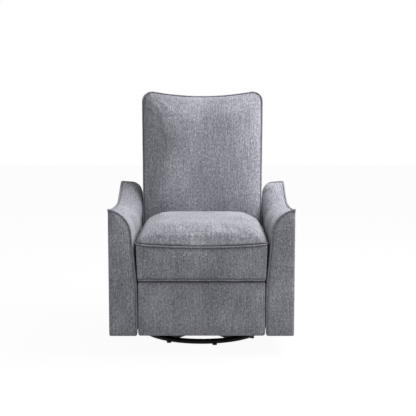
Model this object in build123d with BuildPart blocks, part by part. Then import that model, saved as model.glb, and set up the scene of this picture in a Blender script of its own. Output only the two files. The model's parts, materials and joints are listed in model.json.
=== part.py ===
from build123d import *
from math import atan2, cos, degrees, hypot, radians, sin, tan
import os

os.makedirs("parts", exist_ok=True)

# Upholstery outline
CHAIR_WIDTH = 762.0
ARM_FRONT_Y = -430.0
ARM_REAR_Y = 235.0
ARM_TIP_HEIGHT = 608.0
ARM_REAR_HEIGHT = 658.0
SKIRT_HEIGHT = 81.0
SEAT_WELT_HEIGHT = 464.0
SEAT_CROWN = 70.0
SEAT_REAR_Y = 74.0
SEAT_LIP = 12.0
BACK_TILT = 13.0
BACK_TOP_HEIGHT = 1072.0
BACK_TOP_HALF = 279.0
BACK_LOW_HALF = 271.0
BACK_DEPTH = 198.25
BACK_CROWN = 38.0
INNER_HALF_FRONT = 265.0
INNER_HALF_REAR = 277.0

# Base and swivel
RING_RADIUS = 262.0
RING_TUBE = 22.0
FOOT_HEIGHT = 5.0
FOOT_DIAMETER = 20.0
FOOT_COUNT = 8
SPIDER_WIDTH = 36.0
SPIDER_HEIGHT = 18.0
SPIDER_ANGLE = 35.0
HUB_RADIUS = 75.0
RACE_PLATE = 5.0
RACE_RADIUS = 58.0
BEARING_WIDTH = 14.0
BEARING_HEIGHT = 4.0
KINGPIN = 16.0

# Glide suspension
GLIDE_SPAN = 135.0
GLIDE_LINK = 110.0
GLIDE_PIVOT_Z = 212.0
GLIDE_PIN = 12.0
BRACKET_X = 150.0
TIE_WIDTH = 30.0
TIE_HEIGHT = 24.0

# Seat frame and mechanism
RAIL_INNER = 203.0
RAIL_THICK = 23.0
RAIL_HEIGHT = 36.0
DECK_BASE_Z = 352.0
PLATE_THICK = 4.0
SIDE_PLATE_X = 250.0
LAYER_GAP = 2.5
LINK_WIDTH = 22.0
LINK_PIN = 10.0
RECLINE_Y = 140.0
RECLINE_Z = 345.0
RECLINE_PIN = 14.0

# Footrest linkage, forward distance and height of each pivot
DRIVE_PIVOT = (255.0, 302.0)
DRIVE_REACH = (-84.0, -150.0)
PANEL_BACK = 372.0
PANEL_LOW = 82.0
PANEL_HIGH = 309.0
PANEL_HALF = 260.0
PANEL_BOARD = 18.0
PANEL_PAD = 42.0
PANEL_PIVOT = (-18.0, 80.0)
PANEL_PIVOT_DROP = 110.5
LINK_SPREAD = 56.0
REAR_LINK_STEP = 100.0

# Clearances
REST_GAP = 0.3
RUN_GAP = 0.1
HEAD = 1.8


def save(piece, name):
    piece.label = name
    export_step(piece, f"parts/{name}.step")


def save_pair(piece, name):
    save(mirror(piece, about=Plane.YZ), f"{name}_right")
    save(piece, f"{name}_left")


def side_plane(x):
    return Plane((x, 0, 0), x_dir=(0, 1, 0), z_dir=(1, 0, 0))


def cross_plane(y):
    return Plane((0, y, 0), x_dir=(1, 0, 0), z_dir=(0, -1, 0))


def forward(point):
    return (-point[0], point[1])


def add_points(a, b):
    return (a[0] + b[0], a[1] + b[1])


def link_shape(p, q, width):
    with Locations(((p[0] + q[0]) / 2, (p[1] + q[1]) / 2)):
        turn = degrees(atan2(q[1] - p[1], q[0] - p[0]))
        SlotCenterToCenter(hypot(q[0] - p[0], q[1] - p[1]), width, rotation=turn)


def hole(point, diameter):
    with Locations(point):
        Circle(diameter / 2, mode=Mode.SUBTRACT)


def pin(point, steps):
    for x0, x1, diameter in steps:
        with Locations(Location((x0, *point), (0, 90, 0))):
            Cylinder(diameter / 2, x1 - x0, align=(Align.CENTER, Align.CENTER, Align.MIN))


def flat_link(x, p, q, width, holes, pins=()):
    with BuildPart() as link:
        with BuildSketch(side_plane(x)):
            link_shape(p, q, width)
            for point, diameter in holes:
                hole(point, diameter)
        extrude(amount=PLATE_THICK)
        for point, steps in pins:
            pin(point, steps)
    return link.part


# Floor ring on eight small glides
ring_z = FOOT_HEIGHT + RING_TUBE / 2
with BuildPart() as base_ring:
    with Locations((0, 0, ring_z)):
        Torus(RING_RADIUS, RING_TUBE / 2)
save(base_ring.part, "base_ring")

with BuildPart() as base_glides:
    with BuildSketch():
        with PolarLocations(RING_RADIUS, FOOT_COUNT, start_angle=102):
            Circle(FOOT_DIAMETER / 2)
    extrude(amount=FOOT_HEIGHT - RUN_GAP)
save(base_glides.part, "base_glides")

# Crossed arms and hub plate welded inside the ring
spider_top = ring_z + RING_TUBE / 2 - 1
hub_top = spider_top + 6
with BuildPart() as base_spider:
    with BuildSketch(Plane.XY.offset(spider_top - SPIDER_HEIGHT)):
        Rectangle(2 * RING_RADIUS - 6, SPIDER_WIDTH, rotation=90 - SPIDER_ANGLE)
        Rectangle(2 * RING_RADIUS - 6, SPIDER_WIDTH, rotation=90 + SPIDER_ANGLE)
    extrude(amount=SPIDER_HEIGHT)
    with Locations((0, 0, ring_z)):
        Torus(RING_RADIUS, RING_TUBE / 2 + RUN_GAP, mode=Mode.SUBTRACT)
    with BuildSketch(Plane.XY.offset(spider_top)):
        Circle(HUB_RADIUS)
        Circle(KINGPIN / 2 + RUN_GAP, mode=Mode.SUBTRACT)
    extrude(amount=hub_top - spider_top)
save(base_spider.part, "base_spider")

# Swivel: two plates with a bearing ring between them, on a central kingpin
upper_race = hub_top + RACE_PLATE + BEARING_HEIGHT + REST_GAP
swivel_top = upper_race + RACE_PLATE
with BuildPart() as swivel_lower_plate:
    with BuildSketch(Plane.XY.offset(hub_top)):
        Circle(HUB_RADIUS)
        Circle(KINGPIN / 2 + RUN_GAP, mode=Mode.SUBTRACT)
    extrude(amount=RACE_PLATE)
save(swivel_lower_plate.part, "swivel_lower_plate")

with BuildPart() as swivel_bearing:
    with BuildSketch(Plane.XY.offset(hub_top + RACE_PLATE)):
        Circle(RACE_RADIUS + BEARING_WIDTH / 2)
        Circle(RACE_RADIUS - BEARING_WIDTH / 2, mode=Mode.SUBTRACT)
    extrude(amount=BEARING_HEIGHT)
save(swivel_bearing.part, "swivel_bearing")

with BuildPart() as swivel_upper_plate:
    with BuildSketch(Plane.XY.offset(upper_race)):
        Circle(HUB_RADIUS)
        Circle(KINGPIN / 2 + RUN_GAP, mode=Mode.SUBTRACT)
    extrude(amount=RACE_PLATE)
save(swivel_upper_plate.part, "swivel_upper_plate")

with BuildPart() as swivel_kingpin:
    with BuildSketch(Plane.XY.offset(spider_top)):
        Circle(KINGPIN / 2)
    extrude(amount=swivel_top + 11 - spider_top)
    with BuildSketch(Plane.XY.offset(swivel_top + REST_GAP)):
        RegularPolygon(KINGPIN * 0.8, 6)
    extrude(amount=8)
save(swivel_kingpin.part, "swivel_kingpin")

# Glide base: tie bars and two upright brackets
tie_y = KINGPIN + TIE_WIDTH + 6
with BuildPart() as glide_tie_bars:
    with BuildSketch(side_plane(-BRACKET_X)):
        with Locations((tie_y, swivel_top + TIE_HEIGHT / 2), (-tie_y, swivel_top + TIE_HEIGHT / 2)):
            Rectangle(TIE_WIDTH, TIE_HEIGHT)
            Rectangle(TIE_WIDTH - 5, TIE_HEIGHT - 5, mode=Mode.SUBTRACT)
    extrude(amount=2 * BRACKET_X)
save(glide_tie_bars.part, "glide_tie_bars")

lower_z = GLIDE_PIVOT_Z - GLIDE_LINK
bracket_out = BRACKET_X + PLATE_THICK
link_x = bracket_out + 3
link_out = link_x + PLATE_THICK
hanger_x = link_out + 6
glide_head = GLIDE_PIN + 6
upper_pivots = [(-GLIDE_SPAN, GLIDE_PIVOT_Z), (GLIDE_SPAN, GLIDE_PIVOT_Z)]
lower_pivots = [(-GLIDE_SPAN, lower_z), (GLIDE_SPAN, lower_z)]
glide_hole = GLIDE_PIN + 2 * RUN_GAP
with BuildPart() as glide_bracket:
    with BuildSketch(side_plane(BRACKET_X)):
        with Locations((0, swivel_top + TIE_HEIGHT * 0.75)):
            Rectangle(2 * GLIDE_SPAN + 70, TIE_HEIGHT * 1.5)
        for pivot in upper_pivots:
            link_shape((pivot[0], swivel_top + TIE_HEIGHT), pivot, 40)
    extrude(amount=PLATE_THICK)
    head_face = link_out + REST_GAP
    for pivot in upper_pivots:
        pin(pivot, [(bracket_out + RUN_GAP, head_face, GLIDE_PIN), (head_face, link_out + 3, glide_head)])
save_pair(glide_bracket.part, "glide_bracket")

# Four swinging links
for pivot, place in ((upper_pivots[0], "front"), (upper_pivots[1], "rear")):
    foot = (pivot[0], lower_z)
    swing_link = flat_link(link_x, foot, pivot, 30, [(foot, glide_hole), (pivot, glide_hole)])
    save_pair(swing_link, f"glide_link_{place}")

# Carriage hangers with a flange under the seat rails
rail_base = DECK_BASE_Z - RAIL_HEIGHT
rail_outer = RAIL_INNER + RAIL_THICK
with BuildPart() as carriage_hanger:
    with BuildSketch(side_plane(hanger_x)):
        with Locations((0, rail_base - 33)):
            Rectangle(2 * GLIDE_SPAN + 110, 66)
        for pivot in lower_pivots:
            link_shape(pivot, (pivot[0], rail_base - 30), 34)
    extrude(amount=PLATE_THICK)
    inner_face = link_x - REST_GAP
    for pivot in lower_pivots:
        pin(pivot, [(inner_face, hanger_x - RUN_GAP, GLIDE_PIN), (inner_face - HEAD, inner_face, glide_head)])
    with BuildSketch(Plane.XY.offset(rail_base - PLATE_THICK)):
        with Locations(((hanger_x + rail_outer) / 2, 0)):
            Rectangle(rail_outer - hanger_x, 2 * GLIDE_SPAN + 110)
    extrude(amount=PLATE_THICK)
save_pair(carriage_hanger.part, "carriage_hanger")

with BuildPart() as carriage_cross_ties:
    with BuildSketch(side_plane(-hanger_x)):
        tie_spots = [(s * (GLIDE_SPAN + 35), rail_base - PLATE_THICK - TIE_HEIGHT / 2) for s in (-1, 1)]
        with Locations(tie_spots):
            Rectangle(TIE_WIDTH, TIE_HEIGHT)
            Rectangle(TIE_WIDTH - 5, TIE_HEIGHT - 5, mode=Mode.SUBTRACT)
    extrude(amount=2 * hanger_x)
save(carriage_cross_ties.part, "carriage_cross_ties")

# Wooden seat frame with stretched webbing
frame_front = ARM_FRONT_Y + SEAT_LIP
frame_rear = SEAT_REAR_Y - 4
frame_mid = (frame_front + frame_rear) / 2
frame_length = frame_rear - frame_front
END_RAIL = 24.0
with BuildPart() as seat_frame:
    with BuildSketch(Plane.XY.offset(rail_base)):
        with Locations((0, frame_mid)):
            with GridLocations(2 * RAIL_INNER + RAIL_THICK, 0, 2, 1):
                Rectangle(RAIL_THICK, frame_length)
            with GridLocations(0, frame_length - END_RAIL, 1, 2):
                Rectangle(2 * (RAIL_INNER - REST_GAP), END_RAIL)
    extrude(amount=RAIL_HEIGHT)
save(seat_frame.part, "seat_frame")

WEBBING = 2.0
STRAP_WIDTH = 50.0
strap_base = DECK_BASE_Z + REST_GAP
with BuildPart() as seat_webbing:
    with BuildSketch(Plane.XY.offset(strap_base)):
        with Locations((0, frame_mid)):
            with GridLocations(RAIL_INNER * 0.42, 0, 5, 1):
                Rectangle(STRAP_WIDTH, frame_length - 6)
    extrude(amount=WEBBING)
save(seat_webbing.part, "seat_webbing")

# Seat deck, cushion and front border
deck_base = strap_base + WEBBING + REST_GAP
deck_top = deck_base + 3
with BuildPart() as seat_deck:
    with BuildSketch(Plane.XY.offset(deck_base)):
        with Locations((0, frame_mid)):
            Rectangle(2 * rail_outer, frame_length - 4)
    extrude(amount=deck_top - deck_base)
save(seat_deck.part, "seat_deck")


def seat_plan(z, front, rear, half_front, half_rear, corner):
    with BuildSketch(Plane.XY.offset(z)) as plan:
        with BuildLine():
            Polyline(
                (-half_front, front),
                (half_front, front),
                (half_rear, rear),
                (-half_rear, rear),
                close=True,
            )
        make_face()
        fillet(vertices(), corner)
    return plan.sketch


seat_half_front = INNER_HALF_FRONT + 3
seat_half_rear = INNER_HALF_REAR - 6
border_front = ARM_FRONT_Y - SEAT_LIP
boxing_front = frame_front - REST_GAP
cushion_low = deck_top + REST_GAP
boxing_rows = [
    (cushion_low, boxing_front, SEAT_REAR_Y, INNER_HALF_FRONT - 4, seat_half_rear - 2, 24),
    (SEAT_WELT_HEIGHT, boxing_front, SEAT_REAR_Y, seat_half_front, seat_half_rear, 24),
]
crown_steps = [
    (0, 0, 0, 0, 30),
    (0.37, 6, 4, 7, 36),
    (0.66, 25, 16, 28, 50),
    (0.87, 60, 38, 66, 68),
    (1, 124, 80, 132, 90),
]
crown_rows = [
    (
        SEAT_WELT_HEIGHT + SEAT_CROWN * up,
        border_front + front_in,
        SEAT_REAR_Y - rear_in,
        seat_half_front - side_in,
        seat_half_rear - side_in,
        corner,
    )
    for up, front_in, rear_in, side_in, corner in crown_steps
]
with BuildPart() as seat_cushion:
    loft([seat_plan(*row) for row in boxing_rows], ruled=True)
    loft([seat_plan(*row) for row in crown_rows])
save(seat_cushion.part, "seat_cushion")

border_low = PANEL_HIGH + 7
border_high = SEAT_WELT_HEIGHT - REST_GAP
with BuildPart() as seat_front_border:
    with BuildSketch(cross_plane(boxing_front - REST_GAP)):
        with BuildLine():
            Polyline(
                (-INNER_HALF_FRONT + 2, border_low),
                (INNER_HALF_FRONT - 2, border_low),
                (seat_half_front, border_high),
                (-seat_half_front, border_high),
                close=True,
            )
        make_face()
    extrude(amount=boxing_front - REST_GAP - border_front)
    fillet(edges().filter_by_position(Axis.Y, border_front - 0.1, border_front + 0.1), 8)
save(seat_front_border.part, "seat_front_border")

# Mechanism side plates and the blocks that stand them off the rails
drive_reach_length = hypot(*DRIVE_REACH)
drive_unit = (DRIVE_REACH[0] / drive_reach_length, DRIVE_REACH[1] / drive_reach_length)
panel_mid = (PANEL_BACK, PANEL_HIGH - PANEL_PIVOT_DROP)
p2 = DRIVE_PIVOT
q2 = add_points(p2, DRIVE_REACH)
r2 = add_points(q2, (drive_unit[0] * LINK_SPREAD, drive_unit[1] * LINK_SPREAD))
s1 = add_points(panel_mid, PANEL_PIVOT)
s2 = add_points(s1, (r2[0] - q2[0], r2[1] - q2[1]))
mid_length = hypot(s1[0] - q2[0], s1[1] - q2[1])
mid_unit = ((s1[0] - q2[0]) / mid_length, (s1[1] - q2[1]) / mid_length)
p1 = (p2[0] - mid_unit[0] * REAR_LINK_STEP, p2[1] - mid_unit[1] * REAR_LINK_STEP)
q1 = add_points(p1, DRIVE_REACH)

side_plate_out = SIDE_PLATE_X + PLATE_THICK
layer1 = SIDE_PLATE_X - LAYER_GAP - PLATE_THICK
layer2 = layer1 - LAYER_GAP - PLATE_THICK
layer3 = layer2 - LAYER_GAP - PLATE_THICK
link_hole = LINK_PIN + 2 * RUN_GAP
open_hole = LINK_PIN + 0.8
head_d = LINK_PIN + 6
bracket_in = SIDE_PLATE_X - 6
arm_bolt_spots = [(-200.0, 330.0), (60.0, 290.0)]
BOLT = 8.0
PLATE_FRONT = 352.0
PLATE_EAR = 22.0
SPACER_SPOTS = (-325.0, 30.0)
SPACER_FACE = (40.0, 24.0)
SPACER_DROP = 15.0
plate_low = p1[1] - 18
plate_high = RECLINE_Z - 1
with BuildPart() as mech_side_plate:
    with BuildSketch(side_plane(SIDE_PLATE_X)):
        plate_rear = RECLINE_Y + PLATE_EAR
        with Locations(((plate_rear - PLATE_FRONT) / 2, (plate_low + plate_high) / 2)):
            Rectangle(plate_rear + PLATE_FRONT, plate_high - plate_low)
        with Locations((RECLINE_Y, RECLINE_Z)):
            Circle(PLATE_EAR)
        hole(forward(p2), link_hole)
        for spot in arm_bolt_spots:
            hole(spot, BOLT + 2 * RUN_GAP)
    extrude(amount=PLATE_THICK)
    rivet_face = layer1 - REST_GAP
    rivet = [(rivet_face, SIDE_PLATE_X, LINK_PIN), (rivet_face - HEAD, rivet_face, head_d)]
    pin(forward(p1), rivet)
    stud_face = bracket_in - REST_GAP
    stud = [(stud_face, SIDE_PLATE_X, RECLINE_PIN), (stud_face - 4, stud_face, RECLINE_PIN + 10)]
    pin((RECLINE_Y, RECLINE_Z), stud)
save_pair(mech_side_plate.part, "mech_side_plate")

with BuildPart() as side_plate_spacers:
    with BuildSketch(side_plane(rail_outer)):
        with Locations(*[(y, plate_high - SPACER_DROP) for y in SPACER_SPOTS]):
            Rectangle(*SPACER_FACE)
    extrude(amount=SIDE_PLATE_X - rail_outer)
    mirror(about=Plane.YZ)
save(side_plate_spacers.part, "side_plate_spacers")

# Footrest drive links on a cross tube
tube_end = layer1 - REST_GAP
with BuildPart() as footrest_torque_tube:
    with BuildSketch(side_plane(-tube_end)):
        with Locations(forward(p2)):
            Circle(LINK_PIN)
            Circle(LINK_PIN - 2.5, mode=Mode.SUBTRACT)
    extrude(amount=2 * tube_end)
save(footrest_torque_tube.part, "footrest_torque_tube")

layer1_out = layer1 + PLATE_THICK
layer2_out = layer2 + PLATE_THICK
layer3_out = layer3 + PLATE_THICK
inward = [
    (layer2 - REST_GAP, layer1, LINK_PIN),
    (layer2 - REST_GAP - HEAD, layer2 - REST_GAP, head_d),
]
stub = [
    (layer1_out, side_plate_out + REST_GAP, LINK_PIN),
    (side_plate_out + REST_GAP, side_plate_out + 3, head_d),
]
drive_pins = [(forward(q2), inward), (forward(r2), inward), (forward(p2), stub)]
save_pair(flat_link(layer1, forward(p2), forward(r2), LINK_WIDTH, [], drive_pins), "footrest_drive_link")

rear_holes = [(forward(p1), link_hole), (forward(q1), open_hole)]
save_pair(flat_link(layer1, forward(p1), forward(q1), LINK_WIDTH, rear_holes), "footrest_rear_link")

rear_pin = [
    (layer2_out, layer1_out + REST_GAP, LINK_PIN),
    (layer1_out + REST_GAP, layer1_out + HEAD, head_d),
]
panel_pin = [
    (layer3 - REST_GAP, layer2, LINK_PIN),
    (layer3 - REST_GAP - HEAD, layer3 - REST_GAP, head_d),
]
mid_holes = [(forward(q2), link_hole)]
mid_pins = [(forward(q1), rear_pin), (forward(s1), panel_pin)]
save_pair(flat_link(layer2, forward(q1), forward(s1), LINK_WIDTH, mid_holes, mid_pins), "footrest_mid_link")

front_holes = [(forward(r2), link_hole), (forward(s2), open_hole)]
save_pair(flat_link(layer2, forward(r2), forward(s2), LINK_WIDTH, front_holes), "footrest_front_link")

# Footrest brackets, board and pad
board_back = -PANEL_BACK
bracket_top = s1[1] + 14
bracket_low = s2[1] - 30
with BuildPart() as footrest_bracket:
    with BuildSketch(side_plane(layer3)):
        with BuildLine():
            Polyline(
                (board_back, bracket_top),
                (-s1[0] + 12, bracket_top),
                (-s2[0] + 13, s2[1] + 4),
                (-s2[0] + 9, s2[1] - 11),
                (board_back, bracket_low),
                close=True,
            )
        make_face()
        hole(forward(s1), link_hole)
    extrude(amount=PLATE_THICK)
    cap_face = layer2_out + REST_GAP
    pin(forward(s2), [(layer3_out, cap_face, LINK_PIN), (cap_face, layer2_out + HEAD, head_d)])
    with BuildSketch(Plane((0, board_back, 0), x_dir=(1, 0, 0), z_dir=(0, 1, 0))):
        with Locations((layer3 - 13, -(bracket_top + bracket_low) / 2)):
            Rectangle(30, bracket_top - bracket_low)
    extrude(amount=PLATE_THICK)
save_pair(footrest_bracket.part, "footrest_bracket")

with BuildPart() as footrest_board:
    with BuildSketch(cross_plane(board_back)):
        with Locations((0, (PANEL_LOW + PANEL_HIGH) / 2)):
            Rectangle(2 * PANEL_HALF - 16, PANEL_HIGH - PANEL_LOW - 12)
    extrude(amount=PANEL_BOARD)
save(footrest_board.part, "footrest_board")

pad_back = board_back - PANEL_BOARD
pad_front = pad_back - PANEL_PAD
with BuildPart() as footrest_pad:
    with BuildSketch(cross_plane(pad_back)):
        with Locations((0, (PANEL_LOW + PANEL_HIGH) / 2)):
            RectangleRounded(2 * PANEL_HALF, PANEL_HIGH - PANEL_LOW, 12)
    extrude(amount=PANEL_PAD)
    fillet(edges().filter_by_position(Axis.Y, pad_front - 0.1, pad_front + 0.1), 11)
save(footrest_pad.part, "footrest_pad")

# Arms: swooped flared pads lofted along the seat, with a wooden frame inside
arm_outer = CHAIR_WIDTH / 2
CAVITY_IN = 305.0
ARM_WALL = 29.0
CAVITY_OUT = arm_outer - ARM_WALL
CAVITY_TOP = 500.0
ARM_POST = 50.0
FRONT_PANEL = 19.0
SHOULDER_ROUND = 106.0
TIP_ROUND = 8.0
BOLT_END_GAP = 17.0
arm_join = ARM_FRONT_Y + FRONT_PANEL
tip_drop = ARM_TIP_HEIGHT - 583.0
rear_lift = ARM_REAR_HEIGHT - 629.0
arm_sections = [
    (arm_join, 581.0 + tip_drop, 294.0, 557.0 + tip_drop, SHOULDER_ROUND),
    (-290.0, 567.0 + tip_drop, 292.5, 547.0 + tip_drop, SHOULDER_ROUND * 0.95),
    (-130.0, 557.5 + tip_drop, 290.0, 541.0 + tip_drop, SHOULDER_ROUND * 0.88),
    (20.0, 560.0 + tip_drop, 288.0, 546.0 + tip_drop, SHOULDER_ROUND * 0.78),
    (120.0, 587.0 + rear_lift, 286.5, 577.0 + rear_lift, SHOULDER_ROUND * 0.64),
    (190.0, 616.0 + rear_lift, 286.0, 608.0 + rear_lift, SHOULDER_ROUND * 0.53),
    (ARM_REAR_Y, ARM_REAR_HEIGHT, 285.5, 622.0 + rear_lift, SHOULDER_ROUND * 0.45),
]


def round_that_fits(corner, ends, radius, spare):
    walls = [Vector(*end) - Vector(*corner) for end in ends]
    half = radians(walls[0].get_angle(walls[1])) / 2
    return min(radius, (min(wall.length for wall in walls) - spare) * tan(half))


def arm_section(y, tip, shoulder_x, shoulder_z, round_r):
    share = (y - ARM_FRONT_Y) / (ARM_REAR_Y - ARM_FRONT_Y)
    inner = INNER_HALF_FRONT + (INNER_HALF_REAR - INNER_HALF_FRONT) * share
    with BuildSketch(cross_plane(y)) as outline:
        with BuildLine():
            Polyline(
                (arm_outer, SKIRT_HEIGHT),
                (arm_outer, tip),
                (shoulder_x, shoulder_z),
                (inner + 1, 290),
                (inner, SKIRT_HEIGHT),
                close=True,
            )
        make_face()
        ends = ((arm_outer, tip), (inner + 1, 290))
        shoulder_round = round_that_fits((shoulder_x, shoulder_z), ends, round_r, 2 * TIP_ROUND)
        fillet(vertices().sort_by_distance((shoulder_x, shoulder_z))[0], shoulder_round)
        fillet(vertices().sort_by_distance((arm_outer, tip))[0], TIP_ROUND)
    return outline.sketch


with BuildPart() as arm_pad:
    loft([arm_section(*section) for section in arm_sections])
    with BuildSketch(Plane.XY.offset(SKIRT_HEIGHT)):
        with Locations(((CAVITY_IN + CAVITY_OUT) / 2, (arm_join + ARM_REAR_Y) / 2 - 8)):
            Rectangle(CAVITY_OUT - CAVITY_IN, ARM_REAR_Y - arm_join - 44)
    extrude(amount=CAVITY_TOP - SKIRT_HEIGHT, mode=Mode.SUBTRACT)
    with BuildSketch(side_plane(INNER_HALF_REAR - 10)):
        with Locations(*arm_bolt_spots):
            Circle(BOLT / 2 + REST_GAP)
    extrude(amount=CAVITY_IN - INNER_HALF_REAR + 10, mode=Mode.SUBTRACT)
save_pair(arm_pad.part, "arm_pad")

with BuildPart() as arm_front:
    extrude(arm_section(arm_join, ARM_TIP_HEIGHT, 294.0, 559.0 + tip_drop, SHOULDER_ROUND), FRONT_PANEL)
    fillet(edges().filter_by_position(Axis.Y, ARM_FRONT_Y - 0.1, ARM_FRONT_Y + 0.1), 5)
save_pair(arm_front.part, "arm_front")

timber_front = arm_join + 14 + REST_GAP
timber_rear = ARM_REAR_Y - 30 - REST_GAP
timber_low = SKIRT_HEIGHT + 2
timber_high = CAVITY_TOP - REST_GAP
timber_mid = (timber_front + timber_rear) / 2
with BuildPart() as arm_frame:
    with BuildSketch(side_plane(CAVITY_IN + REST_GAP)):
        with Locations((timber_mid, (timber_low + timber_high) / 2)):
            with GridLocations(timber_rear - timber_front - ARM_POST, 0, 2, 1):
                Rectangle(ARM_POST, timber_high - timber_low)
        rail_span = timber_rear - timber_front - 2 * (ARM_POST + REST_GAP)
        with Locations((timber_mid, timber_low + 21), (timber_mid, timber_high - 21)):
            Rectangle(rail_span, 42)
        with Locations((timber_mid, 310)):
            Rectangle(rail_span, 90)
        for spot in arm_bolt_spots:
            hole(spot, BOLT + 2 * RUN_GAP)
    extrude(amount=CAVITY_OUT - CAVITY_IN - 2 * REST_GAP)
save_pair(arm_frame.part, "arm_frame")

bolt = [
    (SIDE_PLATE_X - 4, SIDE_PLATE_X, BOLT + 7),
    (SIDE_PLATE_X, CAVITY_OUT - BOLT_END_GAP, BOLT),
]
with BuildPart() as arm_bolts:
    for spot in arm_bolt_spots:
        pin(spot, bolt)
    mirror(about=Plane.YZ)
save(arm_bolts.part, "arm_bolts")

# Lower rear panel between the arms
REAR_PANEL_HIGH = 283.0
rear_half = INNER_HALF_REAR - REST_GAP
with BuildPart() as rear_panel:
    with BuildSketch(cross_plane(ARM_REAR_Y - 7)):
        with Locations((0, (SKIRT_HEIGHT + 2 + REAR_PANEL_HIGH) / 2)):
            Rectangle(2 * rear_half, REAR_PANEL_HIGH - SKIRT_HEIGHT - 2)
    extrude(amount=16)
save(rear_panel.part, "rear_panel")

# Back: reclining frame, brackets, webbing, cushion and outer shell
BACK_FOOT_Z = RECLINE_Z + 40
tilt_s = sin(radians(BACK_TILT))
tilt_c = cos(radians(BACK_TILT))
WELT_PLANE = 45.0
JOIN_PLANE = 5.0
back_high = (BACK_TOP_HEIGHT - BACK_FOOT_Z - WELT_PLANE * tilt_s) / tilt_c
shell_rear = WELT_PLANE - BACK_DEPTH
FLARE_LOW = 213.0
FLARE_HIGH = 305.0
CORNER = 44.0
TOP_SWEEP = 10.6


def back_plane(w):
    return Plane(
        (0, RECLINE_Y - w * tilt_c, BACK_FOOT_Z + w * tilt_s),
        x_dir=(1, 0, 0),
        z_dir=(0, -tilt_c, tilt_s),
    )


def back_outline(w, side_in, low_in, top_in, corner):
    low_x = BACK_LOW_HALF - side_in
    flare_x = BACK_TOP_HALF - 6.5 - side_in
    top_x = BACK_TOP_HALF - side_in
    top_v = back_high - top_in
    step = flare_x - low_x
    rise = FLARE_HIGH - FLARE_LOW
    bend = (step * step + rise * rise) / (4 * step)
    half_turn = atan2(step, rise)
    mid_x = (low_x + flare_x) / 2
    mid_v = (FLARE_LOW + FLARE_HIGH) / 2
    foot_r = 14 + low_in * 0.3
    centre_x = top_x - corner
    centre_v = top_v - corner
    sweep_end = radians(90 + TOP_SWEEP)
    half_sweep = radians(45 + TOP_SWEEP / 2)
    crest = (centre_x + corner * cos(sweep_end), centre_v + corner * sin(sweep_end))
    dip = crest[0] * (1 - cos(radians(TOP_SWEEP))) / sin(radians(TOP_SWEEP))
    with BuildSketch(back_plane(w)) as outline:
        with BuildLine():
            Line((foot_r - low_x, low_in), (low_x - foot_r, low_in))
            for s in (1, -1):
                foot_mid = (s * (low_x - foot_r * 0.2929), low_in + foot_r * 0.2929)
                ThreePointArc((s * (low_x - foot_r), low_in), foot_mid, (s * low_x, low_in + foot_r))
                Line((s * low_x, low_in + foot_r), (s * low_x, FLARE_LOW))
                out_x = low_x + bend - bend * cos(half_turn)
                out_v = FLARE_LOW + bend * sin(half_turn)
                ThreePointArc((s * low_x, FLARE_LOW), (s * out_x, out_v), (s * mid_x, mid_v))
                in_x = flare_x - bend + bend * cos(half_turn)
                in_v = FLARE_HIGH - bend * sin(half_turn)
                ThreePointArc((s * mid_x, mid_v), (s * in_x, in_v), (s * flare_x, FLARE_HIGH))
                Line((s * flare_x, FLARE_HIGH), (s * top_x, centre_v))
                turn_x = centre_x + corner * cos(half_sweep)
                turn_v = centre_v + corner * sin(half_sweep)
                ThreePointArc((s * top_x, centre_v), (s * turn_x, turn_v), (s * crest[0], crest[1]))
            ThreePointArc(crest, (0, crest[1] - dip), (-crest[0], crest[1]))
        make_face()
    return outline.sketch


pillow_rows = [
    (WELT_PLANE, 0, 0, 0, CORNER),
    (WELT_PLANE + BACK_CROWN * 0.46, 7, 22, 8, CORNER + 4),
    (WELT_PLANE + BACK_CROWN * 0.82, 28, 62, 28, CORNER + 14),
    (WELT_PLANE + BACK_CROWN, 76, 112, 78, CORNER + 24),
]
with BuildPart() as back_cushion:
    extrude(back_outline(JOIN_PLANE, 0, 0, 0, CORNER), WELT_PLANE - JOIN_PLANE)
    loft([back_outline(*row) for row in pillow_rows])
save(back_cushion.part, "back_cushion")

SHELL_WALL = 15.0
bracket_wide = bracket_in + PLATE_THICK
pocket_half = bracket_wide + REST_GAP
pocket_high = back_high - 45
with BuildPart() as back_outer:
    extrude(back_outline(shell_rear, 0, 0, 0, CORNER), JOIN_PLANE - REST_GAP - shell_rear)
    fillet(faces().sort_by(Axis((0, 0, 0), (0, -tilt_c, tilt_s)))[0].edges(), 18)
    with BuildSketch(back_plane(shell_rear + SHELL_WALL)):
        with Locations((0, pocket_high / 2 - 10)):
            Rectangle(2 * pocket_half, pocket_high + 20)
    extrude(amount=BACK_DEPTH, mode=Mode.SUBTRACT)
save(back_outer.part, "back_outer")

frame_half = bracket_in - REST_GAP
webbing_plane = JOIN_PLANE - REST_GAP - WEBBING
POST = 34.0
TIMBER = 38.0
frame_low = 14.0
frame_high = pocket_high - REST_GAP
BACK_RAIL = 56.0
window = (frame_high - frame_low - 3 * BACK_RAIL) / 2
with BuildPart() as back_frame:
    with BuildSketch(back_plane(webbing_plane - REST_GAP)):
        with Locations((0, (frame_low + frame_high) / 2)):
            with GridLocations(2 * frame_half - POST, 0, 2, 1):
                Rectangle(POST, frame_high - frame_low)
            with GridLocations(0, window + BACK_RAIL, 1, 3):
                Rectangle(2 * (frame_half - POST - REST_GAP), BACK_RAIL)
    extrude(amount=-TIMBER)
save(back_frame.part, "back_frame")

with BuildPart() as back_webbing:
    with BuildSketch(back_plane(webbing_plane)):
        with Locations(*[(0, frame_low + BACK_RAIL + window * k) for k in (0.3, 0.75)]):
            Rectangle(2 * frame_half - 10, STRAP_WIDTH)
        with Locations(*[(0, frame_high - BACK_RAIL - window * k) for k in (0.25, 0.7)]):
            Rectangle(2 * frame_half - 10, STRAP_WIDTH)
    extrude(amount=WEBBING)
save(back_webbing.part, "back_webbing")

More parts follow.
